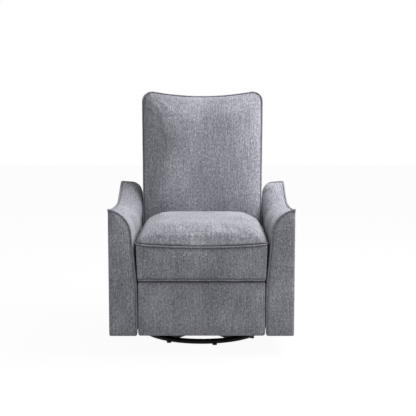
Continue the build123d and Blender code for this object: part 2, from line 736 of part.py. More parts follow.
pivot = (RECLINE_Y, RECLINE_Z)
bracket_rise = 200.0
bracket_tip = (
    RECLINE_Y + bracket_rise * tilt_s + 22 * tilt_c,
    BACK_FOOT_Z + bracket_rise * tilt_c - 22 * tilt_s,
)
bracket_holes = [(pivot, RECLINE_PIN + 2 * RUN_GAP)]
save_pair(flat_link(bracket_in, pivot, bracket_tip, 30, bracket_holes), "back_bracket")
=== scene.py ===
import json
import math

import bmesh
import bpy
import numpy as np
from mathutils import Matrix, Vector
from mathutils.bvhtree import BVHTree
from mathutils.kdtree import KDTree


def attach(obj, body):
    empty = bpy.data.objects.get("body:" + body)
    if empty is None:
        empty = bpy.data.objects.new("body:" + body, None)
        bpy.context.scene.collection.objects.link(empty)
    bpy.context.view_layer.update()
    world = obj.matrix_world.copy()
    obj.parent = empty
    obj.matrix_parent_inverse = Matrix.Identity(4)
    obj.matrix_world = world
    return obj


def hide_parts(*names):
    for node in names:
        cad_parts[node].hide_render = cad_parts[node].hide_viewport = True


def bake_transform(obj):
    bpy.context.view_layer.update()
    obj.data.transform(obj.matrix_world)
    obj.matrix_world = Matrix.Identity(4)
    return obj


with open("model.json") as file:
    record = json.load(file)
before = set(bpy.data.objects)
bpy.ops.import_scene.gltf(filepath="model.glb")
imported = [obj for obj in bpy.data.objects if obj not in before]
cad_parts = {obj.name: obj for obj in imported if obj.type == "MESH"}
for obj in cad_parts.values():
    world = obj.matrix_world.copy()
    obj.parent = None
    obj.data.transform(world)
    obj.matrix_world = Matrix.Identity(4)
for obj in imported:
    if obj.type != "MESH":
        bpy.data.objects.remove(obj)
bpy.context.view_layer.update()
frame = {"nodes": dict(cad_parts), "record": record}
scene = bpy.context.scene
scene.view_settings.view_transform = "Standard"

MM = 0.001

# Sizes of the covers, in millimetres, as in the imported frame
ARM_OUTER = 381.0
ARM_FRONT = -430.0
ARM_JOIN = -411.0
ARM_REAR = 235.0
ARM_INNER_FRONT = 265.0
ARM_INNER_FLARE = 12.0
ARM_LEAN_Z = 290.0
ARM_TIP_ROUND = 8.0
ARM_END = 226.0
ARM_END_ROUND = 8.8
ARM_FULLER = 6.5
SKIRT = 81.0
SEAT_WELT = 464.0
SEAT_FRONT = -442.0
SEAT_REAR = 74.0
SEAT_HALF_FRONT = 268.0
SEAT_HALF_REAR = 271.0
SEAT_CORNER = 30.0
RECLINE_Y = 140.0
BACK_FOOT = 385.0
BACK_TILT = math.radians(13.0)
BACK_HIGH = 694.7
BACK_WELT = 45.0
BACK_LOW_HALF = 271.0
BACK_FLARE_HALF = 272.5
BACK_FLARE_LOW = 213.0
BACK_FLARE_RUN = 92.0
BACK_TOP_HALF = 279.0
BACK_CORNER = 44.0
BACK_FOOT_ROUND = 14.0
BACK_CREST_TURN = 100.6
BACK_CREST_SLOPE = math.radians(5.3)
SHELL_REAR = -153.25
SHELL_FRONT = 4.4
SHELL_ROUND = 18.0
PIPING = 3.4

# Seat block below the welt: height, front, rear, half widths front and rear, corner
SEAT_BLOCK = [
    (358.4, -417.8, 73.5, 260.0, 268.5, 24.0),
    (364.0, -418.2, 74.0, 261.0, 269.0, 24.0),
    (458.0, -418.2, 74.0, 267.5, 270.5, 24.0),
    (464.6, -424.0, 74.0, 267.8, 270.8, 26.0),
]

# Welt sag between the arms: depth, half width, start, run to full depth, fade above and below
WELT_SAG = 11.0
SAG_HALF = 262.0
SAG_START = -360.0
SAG_RUN = 60.0
SAG_ABOVE = 60.0
SAG_BELOW = 110.0

# Panels: corner and crown, then half widths, low and high edges, inner and outer faces
PANEL_CORNER = 5.0
PANEL_CROWN = 3.0
BORDER_HALF_LOW = 263.0
BORDER_HALF_HIGH = 267.6
BORDER_LOW = 316.4
BORDER_HIGH = 463.3
BORDER_BACK = -419.0
BORDER_FRONT = SEAT_FRONT + 1.5
FOOTREST_HALF = 261.8
FOOTREST_LOW = 82.2
FOOTREST_HIGH = 307.6
FOOTREST_BACK = -373.0
FOOTREST_FRONT = -431.0
REAR_HALF = 276.3
REAR_LOW = SKIRT + 2.3
REAR_HIGH = 282.7
REAR_INNER = 212.3
REAR_OUTER = 227.6

# Rear flap: half width, cloth, rows from the outer back down, side returns
FLAP_HALF = 268.0
FLAP_CLOTH = 1.8
FLAP_ROWS = [
    (266.5, 353.0), (263.0, 338.0), (257.0, 320.0), (249.0, 303.0),
    (240.5, 288.0), (236.0, 276.0), (235.0, 264.0),
]
FLAP_RETURNS = [46.0, 44.0, 39.0, 31.0, 21.0, 2.5, 1.0]

# Arm stations: place, tip height, shoulder place and height, shoulder round
ARM_STATIONS = [
    (ARM_JOIN, 606.0, 294.0, 582.0, 106.0),
    (-290.0, 592.0, 292.5, 572.0, 100.7),
    (-130.0, 582.5, 290.0, 566.0, 93.3),
    (20.0, 585.0, 288.0, 571.0, 82.7),
    (120.0, 616.0, 286.5, 606.0, 67.8),
    (190.0, 645.0, 286.0, 637.0, 56.2),
    (ARM_REAR, 658.0, 285.5, 651.0, 47.7),
]
ARM_FACE = (ARM_JOIN, 608.0, 294.0, 584.0, 106.0)
FACE_EDGE = -424.0
FACE_ROUND = 5.0

# Crowns: rise from the welt, half width, then reach and ease of the swell from each edge
PILLOW_RISE = 56.0
PILLOW_HALF = 274.0
PILLOW_SIDE = (150.0, 0.6)
PILLOW_FOOT = (305.0, 0.72)
PILLOW_TOP = (180.0, 0.55)
SEAT_RISE = 72.5
SEAT_CROWN_HALF = 269.5
SEAT_SIDE = (128.0, 0.45)
SEAT_NOSE = (120.0, 0.45)
SEAT_TAIL = (74.0, 0.45)
CROWN_RINGS = 24

# Seams: where the seat seam ends, the border seam, and the arm seams at face and rear
SEAT_SEAM_END = 40.0
BORDER_SEAM_HALF = 259.0
BORDER_SEAM_HEIGHT = 318.0
FACE_SEAM_PLACE = -427.0
REAR_SEAM_PLACE = 230.5

# Metalwork: welds at the spider's ends, screws of the footrest brackets, bolts of the tie bars
SPIDER_TOP = 26.0
SPIDER_TURNS = (55.0, 125.0, 235.0, 305.0)
WELD_REACH = 257.2
WELD_HALF = 17.0
SCREW_SIDE = 214.0
SCREW_PLACE = -367.0
SCREW_HEIGHTS = (215.0, 246.0, 277.0)
TIE_BOLT_SIDE = 40.0
TIE_BOLT_AHEAD = 52.0
TIE_BOLT_HEIGHT = 70.3

# Steps of each cloth simulation
CLOTH_STEPS = 20

# Camera of the photograph: place in metres, degrees below level, lens and sensor width
CAMERA_PLACE = (0.026, -4.43, 1.123)
CAMERA_PITCH = 7.26
CAMERA_LENS = 86.3
CAMERA_SENSOR = 36.0


# Shader groups

def new_group(name, ins, outs):
    group = bpy.data.node_groups.new(name, "ShaderNodeTree")
    for label, kind, value in ins:
        socket = group.interface.new_socket(label, in_out="INPUT", socket_type=kind)
        if value is not None:
            socket.default_value = value
    for label, kind in outs:
        group.interface.new_socket(label, in_out="OUTPUT", socket_type=kind)
    start = group.nodes.new("NodeGroupInput")
    end = group.nodes.new("NodeGroupOutput")
    return group, start, end


def add_node(tree, kind, links=(), **settings):
    node = tree.nodes.new(kind)
    for key, value in settings.items():
        setattr(node, key, value)
    for slot, value in links:
        socket = node.inputs[slot]
        if isinstance(value, bpy.types.NodeSocket):
            tree.links.new(value, socket)
        else:
            socket.default_value = value
    return node


def math_node(tree, operation, a, b=0.0, clamp=False):
    node = add_node(tree, "ShaderNodeMath", [(0, a), (1, b)], operation=operation, use_clamp=clamp)
    return node.outputs[0]


def stretch(tree, vector, scale):
    node = add_node(tree, "ShaderNodeVectorMath", [(0, vector), (1, scale)], operation="MULTIPLY")
    return node.outputs[0]


def flat_noise(tree, place, scale, detail, roughness):
    spread = stretch(tree, place, scale)
    links = [("Vector", spread), ("Scale", 1.0), ("Detail", detail), ("Roughness", roughness)]
    return add_node(tree, "ShaderNodeTexNoise", links, noise_dimensions="2D").outputs[0]


def about_zero(tree, value, strength):
    return math_node(tree, "MULTIPLY", math_node(tree, "SUBTRACT", value, 0.5), strength)


def chenille_weave():
    ins = [
        ("Place", "NodeSocketVector", None),
        ("Threads", "NodeSocketFloat", 420.0),
        ("Slub", "NodeSocketFloat", 0.55),
        ("Nap", "NodeSocketFloat", 0.35),
    ]
    outs = [("Shade", "NodeSocketFloat"), ("Height", "NodeSocketFloat")]
    group, start, end = new_group("chenille_weave", ins, outs)
    spread = [(0, start.outputs["Place"]), ("Scale", start.outputs["Threads"])]
    fine = add_node(group, "ShaderNodeVectorMath", spread, operation="SCALE").outputs[0]
    # Plain weave: warp and weft ridges that pass over each other
    axes = add_node(group, "ShaderNodeSeparateXYZ", [(0, fine)])
    warp = math_node(group, "SINE", math_node(group, "MULTIPLY", axes.outputs[0], math.pi))
    weft = math_node(group, "SINE", math_node(group, "MULTIPLY", axes.outputs[1], math.pi))
    crossing = math_node(group, "MULTIPLY", warp, weft)
    ridge = math_node(group, "MULTIPLY_ADD", crossing, 0.5)
    ridge.node.inputs[2].default_value = 0.5
    # Tufted yarn: uneven slubs that run along the warp
    yarn = flat_noise(group, fine, (0.62, 0.3, 0.5), 3.0, 0.72)
    tuft = add_node(
        group, "ShaderNodeTexVoronoi",
        [("Vector", stretch(group, fine, (0.85, 0.52, 0.5))), ("Scale", 1.0), ("Randomness", 1.0)],
        voronoi_dimensions="2D",
    )
    fleck = math_node(group, "SUBTRACT", tuft.outputs["Color"], 0.5)
    mottle = flat_noise(group, fine, (0.34, 0.17, 0.2), 2.0, 0.6)
    streak = flat_noise(group, fine, (0.42, 0.026, 0.2), 2.0, 0.6)
    # Pile that lies this way and that in broad patches
    nap = flat_noise(group, fine, (0.02, 0.013, 0.015), 2.0, 0.5)
    heather = math_node(group, "MULTIPLY", fleck, 0.5)
    for noise, strength in ((yarn, 2.6), (mottle, 1.3), (streak, 0.85)):
        heather = math_node(group, "ADD", heather, about_zero(group, noise, strength))
    shade = math_node(group, "MULTIPLY", heather, start.outputs["Slub"])
    shade = math_node(group, "ADD", shade, about_zero(group, nap, start.outputs["Nap"]))
    shade = math_node(group, "ADD", shade, 0.5, clamp=True)
    group.links.new(shade, end.inputs["Shade"])
    puff = math_node(group, "SUBTRACT", 1.0, tuft.outputs["Distance"])
    height = math_node(group, "MULTIPLY", ridge, 0.35)
    for bump, strength in ((puff, 0.4), (yarn, 0.5)):
        height = math_node(group, "ADD", height, math_node(group, "MULTIPLY", bump, strength))
    group.links.new(height, end.inputs["Height"])
    return group


def rubbed_finish():
    ins = [
        ("Place", "NodeSocketVector", None),
        ("Grain", "NodeSocketFloat", 90.0),
        ("Low", "NodeSocketFloat", 0.3),
        ("High", "NodeSocketFloat", 0.5),
    ]
    outs = [("Mask", "NodeSocketFloat"), ("Roughness", "NodeSocketFloat"), ("Height", "NodeSocketFloat")]
    group, start, end = new_group("rubbed_finish", ins, outs)
    broad = add_node(
        group, "ShaderNodeTexNoise",
        [("Vector", start.outputs["Place"]), ("Scale", 9.0), ("Detail", 5.0), ("Roughness", 0.6)],
    )
    fine = add_node(
        group, "ShaderNodeTexNoise",
        [("Vector", start.outputs["Place"]), ("Scale", start.outputs["Grain"]), ("Detail", 3.0)],
    )
    both = math_node(group, "MULTIPLY", broad.outputs[0], fine.outputs[0])
    mask = add_node(group, "ShaderNodeMapRange", [(0, both), (1, 0.16), (2, 0.42), (3, 0.0), (4, 1.0)])
    group.links.new(mask.outputs[0], end.inputs["Mask"])
    rough = add_node(
        group, "ShaderNodeMapRange",
        [(0, broad.outputs[0]), (1, 0.3), (2, 0.7), (3, start.outputs["Low"]), (4, start.outputs["High"])],
    )
    group.links.new(rough.outputs[0], end.inputs["Roughness"])
    group.links.new(fine.outputs[0], end.inputs["Height"])
    return group


WEAVE = chenille_weave()
RUBBED = rubbed_finish()


# Materials

def start_material(name):
    material = bpy.data.materials.new(name)
    material.use_nodes = True
    tree = material.node_tree
    shader = tree.nodes["Principled BSDF"]
    return material, tree, shader


def set_sockets(node, values):
    for label, value in values.items():
        node.inputs[label].default_value = value


def place_group(tree, group, links):
    return add_node(tree, "ShaderNodeGroup", links, node_tree=group)


def colour_ramp(tree, factor, stops):
    ramp = add_node(tree, "ShaderNodeValToRGB", [(0, factor)])
    elements = ramp.color_ramp.elements
    while len(elements) < len(stops):
        elements.new(0.5)
    for element, (position, colour) in zip(elements, stops):
        element.position = position
        element.color = (*colour, 1.0)
    return ramp.outputs[0]


def add_bump(tree, shader, height, strength, distance):
    links = [("Height", height), ("Strength", strength), ("Distance", distance)]
    bump = add_node(tree, "ShaderNodeBump", links)
    tree.links.new(bump.outputs[0], shader.inputs["Normal"])


def chenille(name, tone=1.0, threads=420.0, slub=0.42):
    material, tree, shader = start_material(name)
    place = add_node(tree, "ShaderNodeUVMap", uv_map="weave").outputs[0]
    weave = place_group(tree, WEAVE, [("Place", place), ("Threads", threads), ("Slub", slub)])
    stops = [
        (0.0, (0.07, 0.07, 0.086)),
        (0.36, (0.165, 0.165, 0.19)),
        (0.62, (0.285, 0.285, 0.318)),
        (1.0, (0.53, 0.53, 0.565)),
    ]
    stops = [(at, tuple(c * tone for c in colour)) for at, colour in stops]
    # Painted shade: the colour darkens along the seams, standing in for the shadow in the grooves beside the
    # piping
    seam_painted_shade = add_node(tree, "ShaderNodeAttribute", attribute_name="seam_painted_shade").outputs["Fac"]
    weave_with_painted_seam_shade = math_node(tree, "MULTIPLY_ADD", seam_painted_shade, -0.5)
    tree.links.new(weave.outputs["Shade"], weave_with_painted_seam_shade.node.inputs[2])
    tree.links.new(colour_ramp(tree, weave_with_painted_seam_shade, stops), shader.inputs["Base Color"])
    set_sockets(shader, {
        "Roughness": 0.92,
        "Specular IOR Level": 0.2,
        "Sheen Weight": 0.22,
        "Sheen Roughness": 0.55,
        "Sheen Tint": (0.8, 0.8, 0.85, 1.0),
    })
    add_bump(tree, shader, weave.outputs["Height"], 0.5, 0.0016)
    return material


def lacquer(name, dark, light, low, high, grain=90.0, bump=0.05):
    material, tree, shader = start_material(name)
    place = add_node(tree, "ShaderNodeTexCoord").outputs["Object"]
    finish = place_group(tree, RUBBED, [("Place", place), ("Grain", grain), ("Low", low), ("High", high)])
    colour = colour_ramp(tree, finish.outputs["Mask"], [(0.0, dark), (1.0, light)])
    tree.links.new(colour, shader.inputs["Base Color"])
    tree.links.new(finish.outputs["Roughness"], shader.inputs["Roughness"])
    add_bump(tree, shader, finish.outputs["Height"], bump, 0.0005)
    return material, shader


def softwood(name):
    material, tree, shader = start_material(name)
    place = add_node(tree, "ShaderNodeTexCoord").outputs["Object"]
    finish = place_group(tree, RUBBED, [("Place", place), ("Grain", 60.0), ("Low", 0.55), ("High", 0.75)])
    along_grain = stretch(tree, place, (60.0, 6.0, 45.0))
    grain = add_node(
        tree, "ShaderNodeTexNoise",
        [("Vector", along_grain), ("Scale", 1.0), ("Detail", 6.0), ("Distortion", 0.6)],
    )
    rings = math_node(tree, "ADD", grain.outputs[0], math_node(tree, "MULTIPLY", finish.outputs["Mask"], 0.2))
    stops = [(0.3, (0.33, 0.2, 0.1)), (0.5, (0.52, 0.36, 0.2)), (0.75, (0.64, 0.48, 0.3))]
    tree.links.new(colour_ramp(tree, rings, stops), shader.inputs["Base Color"])
    tree.links.new(finish.outputs["Roughness"], shader.inputs["Roughness"])
    add_bump(tree, shader, grain.outputs[0], 0.2, 0.0006)
    return material


def strap_webbing(name):
    material, tree, shader = start_material(name)
    place = add_node(tree, "ShaderNodeTexCoord").outputs["Object"]
    weave = place_group(tree, WEAVE, [("Place", place), ("Threads", 620.0), ("Slub", 0.3), ("Nap", 0.2)])
    stops = [(0.0, (0.03, 0.03, 0.033)), (1.0, (0.14, 0.14, 0.15))]
    tree.links.new(colour_ramp(tree, weave.outputs["Shade"], stops), shader.inputs["Base Color"])
    shader.inputs["Roughness"].default_value = 0.7
    add_bump(tree, shader, weave.outputs["Height"], 0.5, 0.0008)
    return material


fabric = chenille("upholstery_chenille")
piping_fabric = chenille("upholstery_piping", tone=0.86, threads=520.0, slub=0.45)
thread_fabric = chenille("seam_thread", tone=0.7, threads=900.0, slub=0.3)
base_black, base_shader = lacquer(
    "base_satin_black", (0.003, 0.003, 0.0033), (0.007, 0.007, 0.0075), 0.42, 0.6,
)
set_sockets(base_shader, {"Specular IOR Level": 0.1})
mech_black, _ = lacquer("mechanism_lacquer", (0.014, 0.014, 0.015), (0.045, 0.045, 0.047), 0.35, 0.55)
foot_black, _ = lacquer(
    "glide_plastic", (0.012, 0.012, 0.013), (0.03, 0.03, 0.03), 0.5, 0.65, grain=300.0, bump=0.12,
)
zinc, zinc_shader = lacquer(
    "bright_zinc", (0.42, 0.42, 0.44), (0.62, 0.62, 0.62), 0.25, 0.42, grain=240.0,
)
set_sockets(zinc_shader, {"Metallic": 1.0})
timber = softwood("frame_softwood")
webbing = strap_webbing("black_webbing")

SLOT_FINISH = {
    "upholstery": fabric,
    "base_black": base_black,
    "mechanism_black": mech_black,
    "bright_steel": zinc,
    "timber": timber,
    "webbing": webbing,
    "glide_plastic": foot_black,
}
for part in frame["record"]["subparts"]:
    node = frame["nodes"][part["node"]]
    node.data.materials.clear()
    node.data.materials.append(SLOT_FINISH[part["material_slot"]])


# Mesh helpers

def mesh_object(name, points, faces, material):
    mesh = bpy.data.meshes.new(name)
    mesh.from_pydata([tuple(p) for p in points], [], faces)
    mesh.validate()
    piece = bpy.data.objects.new(name, mesh)
    scene.collection.objects.link(piece)
    build = bmesh.new()
    build.from_mesh(mesh)
    bmesh.ops.remove_doubles(build, verts=build.verts, dist=1e-6)
    bmesh.ops.recalc_face_normals(build, faces=build.faces)
    build.to_mesh(mesh)
    build.free()
    mesh.materials.append(material)
    mesh.shade_smooth()
    return piece


def loft_rings(name, rings, material):
    count = len(rings[0])
    points = [p * MM for ring in rings for p in ring]
    faces = []
    for k in range(len(rings) - 1):
        a = k * count
        b = a + count
        for i in range(count):
            j = (i + 1) % count
            faces.append((a + i, a + j, b + j, b + i))
    last = (len(rings) - 1) * count
    faces.append(tuple(range(count)))
    faces.append(tuple(last + i for i in reversed(range(count))))
    return mesh_object(name, points, faces, material)


def even_ring(points, count):
    closed = np.array(points + points[:1], dtype=float)
    steps = np.linalg.norm(np.diff(closed, axis=0), axis=1)
    run = np.concatenate([[0.0], np.cumsum(steps)])
    at = np.linspace(0.0, run[-1], count, endpoint=False)
    return [(float(np.interp(s, run, closed[:, 0])), float(np.interp(s, run, closed[:, 1]))) for s in at]


def arc_points(centre, radius, start, end, count):
    turns = np.linspace(math.radians(start), math.radians(end), count)
    return [(centre[0] + radius * math.cos(t), centre[1] + radius * math.sin(t)) for t in turns]


def inset_ring(ring, amount):
    pts = np.array(ring)
    along = np.roll(pts, -1, axis=0) - np.roll(pts, 1, axis=0)
    along /= np.maximum(np.linalg.norm(along, axis=1, keepdims=True), 1e-9)
    area = np.sum(pts[:, 0] * np.roll(pts[:, 1], -1) - np.roll(pts[:, 0], -1) * pts[:, 1])
    side = 1.0 if area > 0 else -1.0
    inward = np.stack([-along[:, 1], along[:, 0]], axis=1) * side
    return [tuple(p) for p in pts + inward * amount]


def round_corner(before, corner, after, radius, count):
    a = (Vector(before) - Vector(corner)).normalized()
    b = (Vector(after) - Vector(corner)).normalized()
    half = a.angle(b) / 2
    centre = Vector(corner) + (a + b).normalized() * (radius / math.sin(half))
    first = Vector(corner) + a * (radius / math.tan(half))
    last = Vector(corner) + b * (radius / math.tan(half))
    t0 = math.atan2(*(first - centre).yx)
    t1 = math.atan2(*(last - centre).yx)
    turn = (t1 - t0 + math.pi) % (2 * math.pi) - math.pi
    steps = [t0 + turn * k / (count - 1) for k in range(count)]
    return [(centre.x + radius * math.cos(t), centre.y + radius * math.sin(t)) for t in steps]


def fill_between(a, b, count):
    return [(a[0] + (b[0] - a[0]) * k / count, a[1] + (b[1] - a[1]) * k / count) for k in range(1, count)]


def rounded_box(half_low, half_high, low, high, corner, count=160):
    corners = [(-half_low, low), (half_low, low), (half_high, high), (-half_high, high)]
    ring = []
    for k in range(4):
        ring += round_corner(corners[k - 1], corners[k], corners[(k + 1) % 4], corner, 9)
    return even_ring(ring, count)


# Outlines of the back and the arms

def back_point(u, v, w):
    y = RECLINE_Y - w * math.cos(BACK_TILT) + v * math.sin(BACK_TILT)
    z = BACK_FOOT + w * math.sin(BACK_TILT) + v * math.cos(BACK_TILT)
    return Vector((u, y, z))


def back_outline(inset=0.0, count=220):
    low_x = BACK_LOW_HALF - inset
    flare_x = BACK_FLARE_HALF - inset
    top_x = BACK_TOP_HALF - inset
    foot = BACK_FOOT_ROUND + inset * 0.3
    centre_x = top_x - BACK_CORNER
    centre_v = BACK_HIGH - inset - BACK_CORNER
    half = [(0.0, inset)]
    half += arc_points((low_x - foot, inset + foot), foot, -90, 0, 8)
    for k in range(0, 13):
        share = k / 12
        ease = share * share * (3 - 2 * share)
        half.append((low_x + (flare_x - low_x) * ease, BACK_FLARE_LOW + BACK_FLARE_RUN * share))
    half += arc_points((centre_x, centre_v), BACK_CORNER, 0, BACK_CREST_TURN, 14)
    crest = half[-1]
    dip = crest[0] * math.tan(BACK_CREST_SLOPE)
    for k in range(1, 12):
        share = k / 12
        half.append((crest[0] * (1 - share), crest[1] - dip * (1 - (1 - share) ** 2)))
    half.append((0.0, crest[1] - dip))
    other = [(-x, v) for x, v in reversed(half[1:-1])]
    return even_ring(half + other, count)


def arm_section(station, inset=0.0):
    y, tip, shoulder_x, shoulder_z, radius = station
    share = (y - ARM_FRONT) / (ARM_REAR - ARM_FRONT)
    inner = ARM_INNER_FRONT + ARM_INNER_FLARE * share
    low_out = (ARM_OUTER, SKIRT)
    tip_spot = (ARM_OUTER, tip)
    shoulder = (shoulder_x, shoulder_z)
    lean = (inner + 1.0, ARM_LEAN_Z)
    low_in = (inner, SKIRT)
    tip_round = round_corner(low_out, tip_spot, shoulder, ARM_TIP_ROUND, 7)
    roll = round_corner(tip_spot, shoulder, lean, radius, 20)
    ring = [low_out] + fill_between(low_out, tip_round[0], 30) + tip_round
    ring += fill_between(tip_round[-1], roll[0], 3) + roll
    ring += fill_between(roll[-1], lean, 20) + [lean]
    ring += fill_between(lean, low_in, 14) + [low_in]
    ring += fill_between(low_in, low_out, 12)
    return inset_ring(ring, inset) if inset else ring


def arm_station(y):
    rows = np.array(ARM_STATIONS)
    k = int(np.clip(np.searchsorted(rows[:, 0], y) - 1, 0, len(rows) - 2))
    p0 = rows[max(k - 1, 0)]
    p1 = rows[k]
    p2 = rows[k + 1]
    p3 = rows[min(k + 2, len(rows) - 1)]
    span = p2[0] - p1[0]
    t = (y - p1[0]) / span
    m1 = (p2 - p0) / (p2[0] - p0[0]) * span
    m2 = (p3 - p1) / (p3[0] - p1[0]) * span
    a = 2 * t**3 - 3 * t**2 + 1
    b = t**3 - 2 * t**2 + t
    c = -2 * t**3 + 3 * t**2
    d = t**3 - t**2
    row = p1 * a + m1 * b + p2 * c + m2 * d
    return (y, *[float(v) for v in row[1:]])


# Padding: pressure swells each cover between its seams

def mesh_points(mesh):
    flat = np.empty(len(mesh.vertices) * 3, dtype=np.float32)
    mesh.vertices.foreach_get("co", flat)
    return flat.reshape(-1, 3).astype(float)


def set_points(mesh, points):
    mesh.vertices.foreach_set("co", points.astype(np.float32).ravel())
    mesh.update()


def bake_modifiers(piece):
    graph = bpy.context.evaluated_depsgraph_get()
    mesh = bpy.data.meshes.new_from_object(piece.evaluated_get(graph))
    piece.modifiers.clear()
    old = piece.data
    piece.data = mesh
    bpy.data.meshes.remove(old)


def refine(piece):
    finer = piece.modifiers.new("finer", "SUBSURF")
    finer.levels = 1
    finer.render_levels = 1
    bake_modifiers(piece)
    piece.data.shade_smooth()


def swell(piece, voxel, cap, hold, slack, smooth=1):
    remesh = piece.modifiers.new("even_faces", "REMESH")
    remesh.mode = "VOXEL"
    remesh.voxel_size = voxel * MM
    remesh.use_smooth_shade = True
    bake_modifiers(piece)
    before = mesh_points(piece.data)
    held = np.clip(hold(before / MM), 0.0, 1.0)
    group = piece.vertex_groups.new(name="sewn")
    for share in (0.25, 0.5, 0.75, 1.0):
        chosen = np.nonzero((held > share - 0.2) & (held <= share + 0.05))[0]
        group.add([int(i) for i in chosen], share, "REPLACE")
    cloth = piece.modifiers.new("filling", "CLOTH")
    settings = cloth.settings
    settings.quality = 4
    settings.mass = 0.4
    settings.tension_stiffness = 18.0
    settings.compression_stiffness = 12.0
    settings.bending_stiffness = 0.8
    settings.shrink_min = -slack
    settings.use_pressure = True
    settings.uniform_pressure_force = 4.0
    settings.vertex_group_mass = "sewn"
    settings.effector_weights.gravity = 0.0
    cloth.point_cache.frame_start = 1
    cloth.point_cache.frame_end = CLOTH_STEPS
    for step in range(1, CLOTH_STEPS + 1):
        scene.frame_set(step)
    graph = bpy.context.evaluated_depsgraph_get()
    result = bpy.data.meshes.new_from_object(piece.evaluated_get(graph))
    moved = mesh_points(result)
    bpy.data.meshes.remove(result)
    piece.modifiers.clear()
    piece.vertex_groups.clear()
    scene.frame_set(1)
    shift = moved - before
    length = np.linalg.norm(shift, axis=1, keepdims=True)
    limit = cap * MM * (1.0 - held)[:, None]
    shift *= np.tanh(length / np.maximum(limit, 1e-9)) * limit / np.maximum(length, 1e-9)
    set_points(piece.data, before + shift)
    relax = piece.modifiers.new("even_out", "SMOOTH")
    relax.factor = 0.5
    relax.iterations = 2 * smooth
    refine(piece)


def lay_weave(piece, tilt=0.0):
    mesh = piece.data
    layer = mesh.uv_layers.get("weave") or mesh.uv_layers.new(name="weave")
    points = mesh_points(mesh)
    c, s = math.cos(tilt), math.sin(tilt)
    turned = points.copy()
    turned[:, 1] = points[:, 1] * c - points[:, 2] * s
    turned[:, 2] = points[:, 1] * s + points[:, 2] * c
    corner = np.empty(len(mesh.loops), dtype=np.int32)
    mesh.loops.foreach_get("vertex_index", corner)
    sizes = np.empty(len(mesh.polygons), dtype=np.int32)
    mesh.polygons.foreach_get("loop_total", sizes)
    normal = np.empty(len(mesh.polygons) * 3, dtype=np.float32)
    mesh.polygons.foreach_get("normal", normal)
    side, ahead, up = normal.reshape(-1, 3).T
    leaned = np.stack([side, ahead * c - up * s, ahead * s + up * c], axis=1)
    facing = np.repeat(np.argmax(np.abs(leaned) * (1.0, 1.05, 0.95), axis=1), sizes)
    spot = turned[corner]
    across = np.where(facing == 0, spot[:, 1], spot[:, 0])
    along = np.where(facing == 2, spot[:, 1], spot[:, 2])
    layer.data.foreach_set("uv", np.stack([across, along], axis=1).astype(np.float32).ravel())


def press_seams_and_paint_shade(piece, seams, reach=11.0, depth=4.0):
    mesh = piece.data
    spots = [p for seam in seams for p in seam]
    tree = KDTree(len(spots))
    for i, p in enumerate(spots):
        tree.insert(p * MM, i)
    tree.balance()
    points = mesh_points(mesh)
    normals = np.empty(len(points) * 3, dtype=np.float32)
    mesh.vertices.foreach_get("normal", normals)
    gap = np.array([tree.find(p)[2] for p in points]) / MM
    near = np.clip(1.0 - gap / reach, 0.0, 1.0) ** 2
    set_points(mesh, points - normals.reshape(-1, 3) * (near * depth * MM)[:, None])
    # Painted shade: a falloff from each seam is stored for the fabric to darken its colour, standing in for
    # the shadow in the seam grooves
    shade = mesh.attributes.new("seam_painted_shade", "FLOAT", "POINT")
    wide = np.clip(1.0 - gap / (reach * 1.15), 0.0, 1.0) ** 1.2
    shade.data.foreach_set("value", wide.astype(np.float32))


def ramp(value, low, high):
    return np.clip((value - low) / (high - low), 0.0, 1.0)


def finish_cover(piece, body, nodes, tilt=0.0):
    lay_weave(piece, tilt)
    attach(piece, body)
    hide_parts(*nodes)


def mirror_cover(piece, name):
    mesh = piece.data.copy()
    mesh.name = name
    points = mesh_points(mesh)
    points[:, 0] *= -1.0
    set_points(mesh, points)
    mesh.flip_normals()
    other = bpy.data.objects.new(name, mesh)
    scene.collection.objects.link(other)
    return other


# Back pillow and outer back

def swell_in(gap, reach, ease):
    return math.sin(math.pi / 2 * min(1.0, max(0.0, gap / reach)) ** ease)


def crown_rings(outline, rise):
    edge = np.array(outline)
    centre = edge.mean(axis=0)
    rings = []
    for k in range(CROWN_RINGS + 1):
        share = 1.0 - 0.97 * k / CROWN_RINGS
        ring = centre + (edge - centre) * share
        rings.append([(a, b, rise(a, b) * min(1.0, k)) for a, b in ring])
    return rings


def make_back_pillow():
    outline = back_outline()
    crest = sorted((abs(u), v) for u, v in outline if v > BACK_HIGH * 0.9)

    def rise(u, v):
        high = float(np.interp(abs(u), [c[0] for c in crest], [c[1] for c in crest]))
        side = swell_in(PILLOW_HALF - abs(u), *PILLOW_SIDE)
        return PILLOW_RISE * side * swell_in(v, *PILLOW_FOOT) * swell_in(high - v, *PILLOW_TOP)

    rows = [(5.6, 3.0), (10.0, 0.0), (36.0, 0.0)]
    rings = [[back_point(u, v, w) for u, v in inset_ring(outline, inset)] for w, inset in rows]
    for ring in crown_rings(outline, rise):
        rings.append([back_point(u, v, BACK_WELT + up) for u, v, up in ring])
    piece = loft_rings("back_pillow", rings, fabric)

    def hold(mm):
        w = -(mm[:, 1] - RECLINE_Y) * math.cos(BACK_TILT) + (mm[:, 2] - BACK_FOOT) * math.sin(BACK_TILT)
        return 1.0 - ramp(w, BACK_WELT + 2.0, BACK_WELT + 14.0)

    swell(piece, voxel=7.5, cap=3.5, hold=hold, slack=0.006, smooth=2)
    press_seams_and_paint_shade(piece, [BACK_SEAM])
    finish_cover(piece, "backrest", ["back_cushion"], -BACK_TILT)
    return piece


